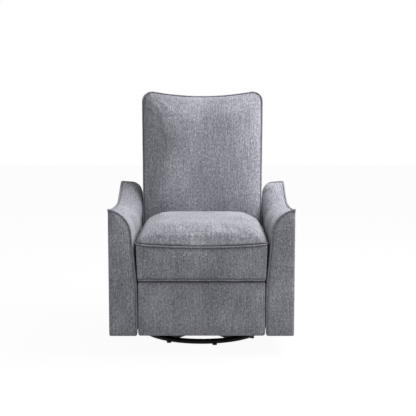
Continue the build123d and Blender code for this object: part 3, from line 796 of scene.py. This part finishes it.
def make_back_shell():
    rows = []
    for k in range(0, 9):
        t = k / 8 * math.pi / 2
        rows.append((SHELL_REAR + SHELL_ROUND * (1 - math.cos(t)), SHELL_ROUND * (1 - math.sin(t))))
    for k in range(1, 9):
        rows.append((SHELL_REAR + SHELL_ROUND + (SHELL_FRONT - SHELL_REAR - SHELL_ROUND) * k / 8, 0.0))
    outline = back_outline()
    rings = [[back_point(u, v, w) for u, v in inset_ring(outline, inset)] for w, inset in rows]
    rear = inset_ring(outline, SHELL_ROUND)
    centre = np.mean(np.array(rear), axis=0)
    for share, out in ((0.93, 1.2), (0.8, 2.6), (0.55, 4.0), (0.25, 4.6), (0.05, 4.7)):
        ring = [(centre[0] + (u - centre[0]) * share, centre[1] + (v - centre[1]) * share) for u, v in rear]
        rings.insert(0, [back_point(u, v, SHELL_REAR - out) for u, v in ring])
    piece = loft_rings("outer_back_cover", rings, fabric)
    finish_cover(piece, "backrest", ["back_outer"], -BACK_TILT)
    return piece


# Seat cushion, front border, footrest, rear panel and rear flap

def sag(p):
    across = max(0.0, 1.0 - (p.x / SAG_HALF) ** 2)
    ahead = min(1.0, max(0.0, (SAG_START - p.y) / SAG_RUN))
    reach = SAG_ABOVE if p.z > SEAT_WELT else SAG_BELOW
    near = max(0.0, 1.0 - abs(p.z - SEAT_WELT) / reach)
    return Vector((p.x, p.y, p.z - WELT_SAG * across * ahead * near))


def seat_ring(z, front, rear, half_front, half_rear, corner):
    ring = rounded_box(half_front, half_rear, front, rear, corner, 200)
    return [sag(Vector((x, y, z))) for x, y in ring]


def make_seat_pillow():
    rings = [seat_ring(*row) for row in SEAT_BLOCK]

    def rise(x, y):
        side = swell_in(SEAT_CROWN_HALF - abs(x), *SEAT_SIDE)
        return SEAT_RISE * side * swell_in(y - SEAT_FRONT, *SEAT_NOSE) * swell_in(SEAT_REAR - y, *SEAT_TAIL)

    outline = rounded_box(SEAT_HALF_FRONT, SEAT_HALF_REAR, SEAT_FRONT, SEAT_REAR, SEAT_CORNER, 200)
    for ring in crown_rings(outline, rise):
        rings.append([sag(Vector((x, y, SEAT_WELT + 1.0 + up))) for x, y, up in ring])
    piece = loft_rings("seat_pillow", rings, fabric)

    def hold(mm):
        x, y, z = mm.T
        across = np.clip(1.0 - (x / SAG_HALF) ** 2, 0.0, 1.0)
        lowered = z + WELT_SAG * ramp(-y, -SAG_START, SAG_RUN - SAG_START) * across
        return 1.0 - ramp(lowered, SEAT_WELT + 3.0, SEAT_WELT + 14.0)

    swell(piece, voxel=6.5, cap=8.0, hold=hold, slack=0.006)
    press_seams_and_paint_shade(piece, [SEAT_SEAM])
    finish_cover(piece, "carriage", ["seat_cushion"])
    return piece


def panel_rings(outline, back, front, edge):
    sign = 1.0 if front > back else -1.0
    rings = [[Vector((x, back, z)) for x, z in inset_ring(outline, 1.0)]]
    rings.append([Vector((x, back + sign * 1.5, z)) for x, z in outline])
    for k in range(0, 7):
        t = k / 6 * math.pi / 2
        y = front - sign * edge * (1 - math.sin(t))
        rings.append([Vector((x, y, z)) for x, z in inset_ring(outline, edge * (1 - math.cos(t)))])
    flat = np.array(inset_ring(outline, edge))
    centre = flat.mean(axis=0)
    for share in (0.94, 0.8, 0.55, 0.25, 0.04):
        bulge = PANEL_CROWN * (1 - share**4)
        ring = centre + (flat - centre) * share
        rings.append([Vector((x, front + sign * bulge, z)) for x, z in ring])
    return rings


def panel_hold(low, high, sides, front):
    def hold(mm):
        x, y, z = mm.T
        free = np.minimum(ramp(z, *low), 1.0 - ramp(z, *high))
        free = np.minimum(free, 1.0 - ramp(np.abs(x), *sides))
        return 1.0 - np.minimum(free, 1.0 - ramp(y, *front))

    return hold


def make_seat_border():
    outline = rounded_box(BORDER_HALF_LOW, BORDER_HALF_HIGH, BORDER_LOW, BORDER_HIGH, PANEL_CORNER, 220)
    rings = panel_rings(outline, BORDER_BACK, BORDER_FRONT, edge=7.0)
    piece = loft_rings("seat_border", [[sag(p) for p in ring] for ring in rings], fabric)
    hold = panel_hold(low=(322.0, 334.0), high=(450.0, 459.0), sides=(246.0, 260.0), front=(-436.0, -428.0))
    swell(piece, voxel=5.0, cap=5.0, hold=hold, slack=0.02)
    press_seams_and_paint_shade(piece, [SEAT_SEAM, BORDER_SEAM], reach=9.0, depth=3.0)
    finish_cover(piece, "carriage", ["seat_front_border"])
    return piece


def make_footrest_cover():
    outline = rounded_box(FOOTREST_HALF, FOOTREST_HALF, FOOTREST_LOW, FOOTREST_HIGH, PANEL_CORNER, 240)
    rings = panel_rings(outline, FOOTREST_BACK, FOOTREST_FRONT, edge=7.0)
    piece = loft_rings("footrest_cover", rings, fabric)
    hold = panel_hold(low=(85.0, 105.0), high=(294.0, 308.0), sides=(244.0, 260.0), front=(-428.0, -415.0))
    swell(piece, voxel=5.5, cap=5.0, hold=hold, slack=0.015)
    finish_cover(piece, "footrest_panel", ["footrest_pad"])
    return piece


def make_rear_cover():
    outline = rounded_box(REAR_HALF, REAR_HALF, REAR_LOW, REAR_HIGH, PANEL_CORNER, 200)
    rings = panel_rings(outline, REAR_INNER, REAR_OUTER, edge=5.0)
    piece = loft_rings("rear_cover", rings, fabric)
    finish_cover(piece, "carriage", ["rear_panel"])
    return piece


def make_rear_flap():
    across = np.linspace(-FLAP_HALF, FLAP_HALF, 91)
    rows = []
    for k, (y, z) in enumerate(FLAP_ROWS):
        wave = 1.6 * math.sin(math.pi * k / (len(FLAP_ROWS) - 1))
        row = [Vector((float(x), y + wave * math.sin(x / 33.0) * math.sin(x / 71.0), z)) for x in across]
        # Side returns run forwards inside the arms, the top one along the foot of the outer back
        lift = 0.22 if k == 0 else 0.0
        for share in (0.1, 0.4, 0.7, 1.0):
            ahead = FLAP_RETURNS[k] * share
            out = FLAP_HALF + 3.5 * min(1.0, 4.0 * share) * min(1.0, ahead / 10.0) + 0.2 * share
            row.append(Vector((out, y - ahead, z + lift * ahead)))
            row.insert(0, Vector((-out, y - ahead, z + lift * ahead)))
        rows.append(row)
    wide = len(rows[0])
    points = [p * MM for row in rows for p in row]
    faces = []
    for k in range(len(rows) - 1):
        for i in range(wide - 1):
            a = k * wide + i
            faces.append((a, a + 1, a + wide + 1, a + wide))
    piece = mesh_object("rear_flap", points, faces, fabric)
    cloth = piece.modifiers.new("cloth", "SOLIDIFY")
    cloth.thickness = FLAP_CLOTH * MM
    cloth.offset = 0.0
    refine(piece)
    lay_weave(piece)
    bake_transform(piece)
    return piece


# Arms

def arm_ring(y, inset=0.0):
    y, tip, shoulder_x, shoulder_z, radius = arm_station(y)
    fuller = ARM_FULLER * min(1.0, max(0.0, (y - 40.0) / 90.0))
    section = arm_section((y, tip, shoulder_x - fuller, shoulder_z, radius), inset)
    return [Vector((x, y, z)) for x, z in section]


def make_arm_covers():
    rings = [arm_ring(-410.6, 1.2), arm_ring(-408.0)]
    for y in np.linspace(-400.0, ARM_END, 48):
        rings.append(arm_ring(float(y)))
    for k in range(1, 6):
        t = k / 5 * math.pi / 2
        rings.append(arm_ring(ARM_END + ARM_END_ROUND * math.sin(t), ARM_END_ROUND * (1 - math.cos(t))))
    piece = loft_rings("arm_cover_left", rings, fabric)

    def hold(mm):
        x, y, z = mm.T
        places = np.linspace(ARM_JOIN, ARM_REAR, 120)
        crest = np.interp(y, places, [arm_station(float(v))[1] for v in places])
        free = ramp(z, SKIRT + 8.0, SKIRT + 62.0)
        free = np.minimum(free, ramp(y, -404.0, -380.0))
        free = np.minimum(free, 1.0 - ramp(y, 196.0, 222.0))
        seam = np.hypot(x - ARM_OUTER, z - crest)
        free = np.minimum(free, ramp(seam, 8.0, 26.0))
        low_side = (1.0 - ramp(x, 268.0, 284.0)) * (1.0 - ramp(z, 470.0, 510.0))
        free = np.minimum(free, 1.0 - low_side)
        outer = ramp(x, 366.0, 373.0)
        return 1.0 - free * (1.0 - 0.7 * outer)

    swell(piece, voxel=8.0, cap=7.0, hold=hold, slack=0.012)
    press_seams_and_paint_shade(piece, [ARM_SEAMS["edge"], ARM_SEAMS["rear"]], reach=9.0, depth=2.5)
    other = mirror_cover(piece, "arm_cover_right")
    finish_cover(piece, "carriage", ["arm_pad_left"])
    finish_cover(other, "carriage", ["arm_pad_right"])
    return piece, other


def make_arm_faces():
    outline = even_ring(arm_section(ARM_FACE), 260)
    rows = [(ARM_JOIN - 0.4, 0.6), (ARM_JOIN - 3.0, 0.0), (FACE_EDGE, 0.0)]
    for k in range(1, 6):
        t = k / 5 * math.pi / 2
        rows.append((FACE_EDGE - FACE_ROUND * math.sin(t), FACE_ROUND * (1 - math.cos(t))))
    rows += [(ARM_FRONT - 0.4, 12.0), (ARM_FRONT - 2.0, 22.0), (ARM_FRONT - 3.0, 32.0)]
    rings = [[Vector((x, y, z)) for x, z in inset_ring(outline, inset)] for y, inset in rows]
    piece = loft_rings("arm_face_left", rings, fabric)

    def hold(mm):
        return ramp(mm[:, 1], -429.0, -426.0)

    swell(piece, voxel=4.5, cap=3.0, hold=hold, slack=0.01)
    press_seams_and_paint_shade(piece, [ARM_SEAMS["face"]], reach=9.0, depth=3.0)
    other = mirror_cover(piece, "arm_face_right")
    finish_cover(piece, "carriage", ["arm_front_left"])
    finish_cover(other, "carriage", ["arm_front_right"])
    return piece, other


# Trim grown by Geometry Nodes: piping, stitches, weld beads and fixing heads

def new_tree(name, ins):
    tree = bpy.data.node_groups.new(name, "GeometryNodeTree")
    tree.interface.new_socket("Geometry", in_out="INPUT", socket_type="NodeSocketGeometry")
    ids = {}
    for label, kind, value in ins:
        socket = tree.interface.new_socket(label, in_out="INPUT", socket_type=kind)
        if value is not None:
            socket.default_value = value
        ids[label] = socket.identifier
    tree.interface.new_socket("Geometry", in_out="OUTPUT", socket_type="NodeSocketGeometry")
    start = tree.nodes.new("NodeGroupInput")
    end = tree.nodes.new("NodeGroupOutput")
    return tree, ids, start, end


def smooth_faces(tree, made):
    return add_node(tree, "GeometryNodeSetShadeSmooth", [("Geometry", made)]).outputs[0]


def close_tree(tree, end, made, material):
    real = add_node(tree, "GeometryNodeRealizeInstances", [("Geometry", made)])
    links = [("Geometry", real.outputs[0]), ("Material", material)]
    dress = add_node(tree, "GeometryNodeSetMaterial", links)
    tree.links.new(dress.outputs[0], end.inputs[0])


def spots_along(tree, start):
    links = [("Curve", start.outputs["Geometry"]), ("Length", start.outputs["Spacing"])]
    return add_node(tree, "GeometryNodeCurveToPoints", links, mode="LENGTH")


def piping_tree():
    ins = [
        ("Radius", "NodeSocketFloat", PIPING * MM),
        ("Step", "NodeSocketFloat", 0.006),
        ("Unevenness", "NodeSocketFloat", 0.0006),
        ("Cover", "NodeSocketMaterial", None),
    ]
    tree, ids, start, end = new_tree("covered_piping", ins)
    links = [("Curve", start.outputs["Geometry"]), ("Length", start.outputs["Step"])]
    steps = add_node(tree, "GeometryNodeResampleCurve", links, mode="LENGTH")
    noise = add_node(tree, "ShaderNodeTexNoise", [("Scale", 28.0), ("Detail", 1.0)], noise_dimensions="3D")
    centred = add_node(
        tree, "ShaderNodeVectorMath",
        [(0, noise.outputs["Color"]), (1, (0.5, 0.5, 0.5))], operation="SUBTRACT",
    )
    drift = add_node(
        tree, "ShaderNodeVectorMath",
        [(0, centred.outputs[0]), ("Scale", start.outputs["Unevenness"])], operation="SCALE",
    )
    wavy = add_node(
        tree, "GeometryNodeSetPosition",
        [("Geometry", steps.outputs[0]), ("Offset", drift.outputs[0])],
    )
    ring = add_node(
        tree, "GeometryNodeCurvePrimitiveCircle",
        [("Resolution", 12), ("Radius", start.outputs["Radius"])],
    )
    tube = add_node(
        tree, "GeometryNodeCurveToMesh",
        [("Curve", wavy.outputs[0]), ("Profile Curve", ring.outputs[0]), ("Fill Caps", True)],
    )
    close_tree(tree, end, smooth_faces(tree, tube.outputs[0]), start.outputs["Cover"])
    return tree, ids


def path_object(name, paths, closed=False):
    curve = bpy.data.curves.new(name, "CURVE")
    curve.dimensions = "3D"
    for points in paths:
        spline = curve.splines.new("POLY")
        spline.points.add(len(points) - 1)
        for spot, p in zip(spline.points, points):
            spot.co = (*(p * MM), 1.0)
        spline.use_cyclic_u = closed
    path = bpy.data.objects.new(name, curve)
    scene.collection.objects.link(path)
    return path


def grow(name, source, tree, values):
    modifier = source.modifiers.new("grow", "NODES")
    modifier.node_group = tree
    for key, value in values.items():
        modifier[key] = value
    graph = bpy.context.evaluated_depsgraph_get()
    mesh = bpy.data.meshes.new_from_object(source.evaluated_get(graph))
    mesh.name = name
    piece = bpy.data.objects.new(name, mesh)
    scene.collection.objects.link(piece)
    bpy.data.objects.remove(source)
    return piece


def stitch_tree():
    ins = [
        ("Spacing", "NodeSocketFloat", 0.0066),
        ("Length", "NodeSocketFloat", 0.0043),
        ("Thickness", "NodeSocketFloat", 0.0005),
        ("Thread", "NodeSocketMaterial", None),
    ]
    tree, ids, start, end = new_tree("running_stitch", ins)
    spots = spots_along(tree, start)
    stitch = add_node(
        tree, "GeometryNodeMeshCylinder",
        [("Vertices", 6), ("Radius", start.outputs["Thickness"]), ("Depth", start.outputs["Length"])],
    )
    row = add_node(
        tree, "GeometryNodeInstanceOnPoints",
        [
            ("Points", spots.outputs["Points"]),
            ("Instance", stitch.outputs["Mesh"]),
            ("Rotation", spots.outputs["Rotation"]),
        ],
    )
    close_tree(tree, end, row.outputs[0], start.outputs["Thread"])
    return tree, ids


def weld_tree():
    ins = [
        ("Spacing", "NodeSocketFloat", 0.0034),
        ("Radius", "NodeSocketFloat", 0.0026),
        ("Finish", "NodeSocketMaterial", None),
    ]
    tree, ids, start, end = new_tree("weld_row", ins)
    spots = spots_along(tree, start)
    bead = add_node(
        tree, "GeometryNodeMeshUVSphere",
        [("Segments", 8), ("Rings", 5), ("Radius", start.outputs["Radius"])],
    )
    row = add_node(
        tree, "GeometryNodeInstanceOnPoints",
        [
            ("Points", spots.outputs["Points"]),
            ("Instance", smooth_faces(tree, bead.outputs["Mesh"])),
            ("Scale", (1.0, 1.0, 0.7)),
        ],
    )
    close_tree(tree, end, row.outputs[0], start.outputs["Finish"])
    return tree, ids


def fixing_tree():
    ins = [
        ("Sides", "NodeSocketInt", 6),
        ("Radius", "NodeSocketFloat", 0.006),
        ("Height", "NodeSocketFloat", 0.004),
        ("Taper", "NodeSocketFloat", 0.9),
        ("Facing", "NodeSocketVector", None),
        ("Finish", "NodeSocketMaterial", None),
    ]
    tree, ids, start, end = new_tree("fixing_heads", ins)
    top = math_node(tree, "MULTIPLY", start.outputs["Radius"], start.outputs["Taper"])
    head = add_node(
        tree, "GeometryNodeMeshCone",
        [
            ("Vertices", start.outputs["Sides"]),
            ("Radius Bottom", start.outputs["Radius"]),
            ("Radius Top", top),
            ("Depth", start.outputs["Height"]),
        ],
    )
    row = add_node(
        tree, "GeometryNodeInstanceOnPoints",
        [
            ("Points", start.outputs["Geometry"]),
            ("Instance", head.outputs["Mesh"]),
            ("Rotation", start.outputs["Facing"]),
        ],
    )
    close_tree(tree, end, row.outputs[0], start.outputs["Finish"])
    return tree, ids


PIPING_TREE, PIPING_IN = piping_tree()
STITCH_TREE, STITCH_IN = stitch_tree()
WELD_TREE, WELD_IN = weld_tree()
FIXING_TREE, FIXING_IN = fixing_tree()


def sew_piping(name, points, closed, body, tilt=0.0):
    path = path_object(name + "_path", [points], closed)
    values = {PIPING_IN["Radius"]: PIPING * MM, PIPING_IN["Cover"]: piping_fabric}
    piece = grow(name, path, PIPING_TREE, values)
    lay_weave(piece, tilt)
    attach(piece, body)
    return piece


# Seam lines, and the trim that follows them

def back_seam_path():
    return [back_point(u, v, BACK_WELT) for u, v in back_outline(0.6, 300)]


def seat_seam_path():
    ring = rounded_box(SEAT_HALF_FRONT, SEAT_HALF_REAR, SEAT_FRONT, SEAT_REAR, SEAT_CORNER, 260)
    spots = [sag(Vector((x, y, SEAT_WELT + 0.5))) for x, y in ring]
    first = next(i for i, p in enumerate(spots) if p.y > SEAT_SEAM_END)
    return [p for p in spots[first:] + spots[:first] if p.y < SEAT_SEAM_END]


def border_seam_path():
    across = np.linspace(-BORDER_SEAM_HALF, BORDER_SEAM_HALF, 90)
    return [Vector((float(x), SEAT_FRONT + 0.6, BORDER_SEAM_HEIGHT)) for x in across]


def profile_path(section, y, high):
    first = next(i for i, (x, z) in enumerate(section) if z > high)
    return [Vector((x, y, z)) for x, z in section[first:] if z > SKIRT + 4.0 and x < ARM_OUTER - 0.5]


def arm_seam_paths():
    face = profile_path(arm_section(ARM_FACE, 1.2), FACE_SEAM_PLACE, 592.0)
    rear = profile_path(arm_section(arm_station(229.0), 1.0), REAR_SEAM_PLACE, 640.0)
    edge = []
    for y in np.linspace(-424.0, 228.0, 90):
        tip = arm_station(float(y))[1]
        edge.append(Vector((ARM_OUTER - 2.4, float(y), tip - 2.2)))
    return {"face": face, "edge": edge, "rear": rear}


def sew_stitches(name, cover, guide, closed, body, tilt=0.0):
    mesh = cover.data
    surface = BVHTree.FromPolygons([v.co for v in mesh.vertices], [p.vertices for p in mesh.polygons])
    path = []
    for p in guide:
        spot, normal, _, _ = surface.find_nearest(p * MM)
        path.append((spot + normal * 0.0002) / MM)
    source = path_object(name + "_path", [path], closed)
    piece = grow(name, source, STITCH_TREE, {STITCH_IN["Thread"]: thread_fabric})
    lay_weave(piece, tilt)
    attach(piece, body)
    return piece


def weld_joint(name, paths, body):
    source = path_object(name + "_path", paths)
    piece = grow(name, source, WELD_TREE, {WELD_IN["Finish"]: base_black})
    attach(piece, body)
    return piece


def set_fixings(name, places, body, sides, radius, height, facing, taper):
    mesh = bpy.data.meshes.new(name + "_places")
    mesh.from_pydata([tuple(p * MM) for p in places], [], [])
    source = bpy.data.objects.new(name + "_places", mesh)
    scene.collection.objects.link(source)
    values = {
        FIXING_IN["Sides"]: sides,
        FIXING_IN["Radius"]: radius * MM,
        FIXING_IN["Height"]: height * MM,
        FIXING_IN["Taper"]: taper,
        FIXING_IN["Facing"]: facing,
        FIXING_IN["Finish"]: zinc,
    }
    piece = grow(name, source, FIXING_TREE, values)
    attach(piece, body)
    return piece


def flip_side(points):
    return [Vector((-p.x, p.y, p.z)) for p in points]


# Covers and trim in place

BACK_SEAM = back_seam_path()
SEAT_SEAM = seat_seam_path()
BORDER_SEAM = border_seam_path()
ARM_SEAMS = arm_seam_paths()

back_pillow = make_back_pillow()
make_back_shell()
seat_pillow = make_seat_pillow()
seat_border = make_seat_border()
make_footrest_cover()
make_rear_cover()
make_arm_covers()
arm_faces = make_arm_faces()
make_rear_flap()

sew_piping("back_piping", BACK_SEAM, True, "backrest", -BACK_TILT)
sew_piping("seat_piping", SEAT_SEAM, False, "carriage")
sew_piping("border_piping", BORDER_SEAM, False, "carriage")
for place, seam in ARM_SEAMS.items():
    sew_piping(f"arm_{place}_piping_left", seam, False, "carriage")
    sew_piping(f"arm_{place}_piping_right", flip_side(seam), False, "carriage")

back_line = [back_point(u, v, BACK_WELT + 7.0) for u, v in back_outline(9.0, 300)]
sew_stitches("back_stitches", back_pillow, back_line, True, "backrest", -BACK_TILT)
seat_line = [p + Vector((0.0, 0.0, 9.0)) for p in SEAT_SEAM]
sew_stitches("seat_stitches", seat_pillow, seat_line, False, "carriage")
border_line = [p + Vector((0.0, 0.0, 8.0)) for p in BORDER_SEAM]
sew_stitches("border_stitches", seat_border, border_line, False, "carriage")
face_line = profile_path(arm_section(ARM_FACE, 9.5), -431.0, 582.0)
sew_stitches("arm_face_stitches_left", arm_faces[0], face_line, False, "carriage")
sew_stitches("arm_face_stitches_right", arm_faces[1], flip_side(face_line), False, "carriage")


# Welds and fixing heads on the metalwork

def spider_welds():
    rows = []
    for turn in SPIDER_TURNS:
        along = Vector((math.cos(math.radians(turn)), math.sin(math.radians(turn)), 0.0))
        across = Vector((-along.y, along.x, 0.0))
        row = []
        for t in np.linspace(-WELD_HALF, WELD_HALF, 9):
            reach = math.sqrt(WELD_REACH**2 - t**2)
            row.append(along * reach + across * float(t) + Vector((0.0, 0.0, SPIDER_TOP)))
        rows.append(row)
    return rows


weld_joint("spider_welds", spider_welds(), "base")
bracket_screws = [
    Vector((x, SCREW_PLACE, z))
    for x in (-SCREW_SIDE, SCREW_SIDE)
    for z in SCREW_HEIGHTS
]
set_fixings(
    "footrest_screws", bracket_screws, "footrest_panel",
    sides=10, radius=4.2, height=2.2, facing=(-math.pi / 2, 0.0, 0.0), taper=0.6,
)
tie_bolts = [
    Vector((x, y, TIE_BOLT_HEIGHT))
    for x in (-TIE_BOLT_SIDE, TIE_BOLT_SIDE)
    for y in (-TIE_BOLT_AHEAD, TIE_BOLT_AHEAD)
]
set_fixings(
    "tie_bar_bolts", tie_bolts, "turntable",
    sides=6, radius=6.5, height=4.2, facing=(0.0, 0.0, 0.0), taper=0.92,
)


# Floor, light and camera

def make_floor():
    bpy.ops.mesh.primitive_plane_add(size=14.0, location=(0.0, 2.0, -0.0005))
    floor = bpy.context.object
    floor.name = "studio_floor"
    material, tree, shader = start_material("pale_floor")
    shader.inputs["Base Color"].default_value = (0.34, 0.34, 0.345, 1.0)
    shader.inputs["Roughness"].default_value = 0.85
    rays = tree.nodes.new("ShaderNodeLightPath")
    seen = math_node(tree, "MAXIMUM", rays.outputs["Is Camera Ray"], rays.outputs["Is Glossy Ray"])
    pale = add_node(tree, "ShaderNodeBsdfDiffuse", [("Color", (0.9, 0.9, 0.9, 1.0))])
    glow = add_node(tree, "ShaderNodeEmission", [("Color", (1.0, 1.0, 1.0, 1.0)), ("Strength", 1.0)])
    shown = add_node(tree, "ShaderNodeMixShader", [(0, 0.95), (1, pale.outputs[0]), (2, glow.outputs[0])])
    mix = add_node(tree, "ShaderNodeMixShader", [(0, seen), (1, shader.outputs[0]), (2, shown.outputs[0])])
    tree.links.new(mix.outputs[0], tree.nodes["Material Output"].inputs["Surface"])
    floor.data.materials.append(material)


def make_world():
    world = bpy.data.worlds.new("studio")
    scene.world = world
    world.use_nodes = True
    tree = world.node_tree
    room = tree.nodes["Background"]
    room.inputs["Color"].default_value = (0.97, 0.98, 1.0, 1.0)
    room.inputs["Strength"].default_value = 0.5
    white = add_node(tree, "ShaderNodeBackground", [("Color", (1.0, 1.0, 1.0, 1.0)), ("Strength", 1.0)])
    rays = tree.nodes.new("ShaderNodeLightPath")
    seen = math_node(tree, "MAXIMUM", rays.outputs["Is Camera Ray"], rays.outputs["Is Glossy Ray"])
    mix = add_node(tree, "ShaderNodeMixShader", [(0, seen), (1, room.outputs[0]), (2, white.outputs[0])])
    tree.links.new(mix.outputs[0], tree.nodes["World Output"].inputs["Surface"])


def add_lamp(name, place, target, size, power):
    lamp = bpy.data.lights.new(name, "AREA")
    lamp.shape = "RECTANGLE"
    lamp.size, lamp.size_y = size
    lamp.energy = power
    holder = bpy.data.objects.new(name, lamp)
    holder.location = place
    holder.rotation_euler = (Vector(target) - Vector(place)).to_track_quat("-Z", "Y").to_euler()
    scene.collection.objects.link(holder)


make_floor()
make_world()
add_lamp("soft_key", (1.45, -0.15, 2.35), (0.0, -0.05, 0.6), (1.5, 1.5), 84.0)
add_lamp("high_rear", (0.9, 0.9, 2.4), (0.0, -0.05, 0.6), (1.2, 1.2), 20.0)
add_lamp("low_front", (0.3, -3.2, 1.2), (0.0, 0.1, 0.5), (1.6, 1.2), 15.0)

lens = bpy.data.cameras.new("photo_camera")
lens.sensor_width = CAMERA_SENSOR
lens.lens = CAMERA_LENS
camera = bpy.data.objects.new("photo_camera", lens)
camera.location = CAMERA_PLACE
camera.rotation_euler = (math.radians(90.0 - CAMERA_PITCH), 0.0, 0.0)
scene.collection.objects.link(camera)
scene.camera = camera
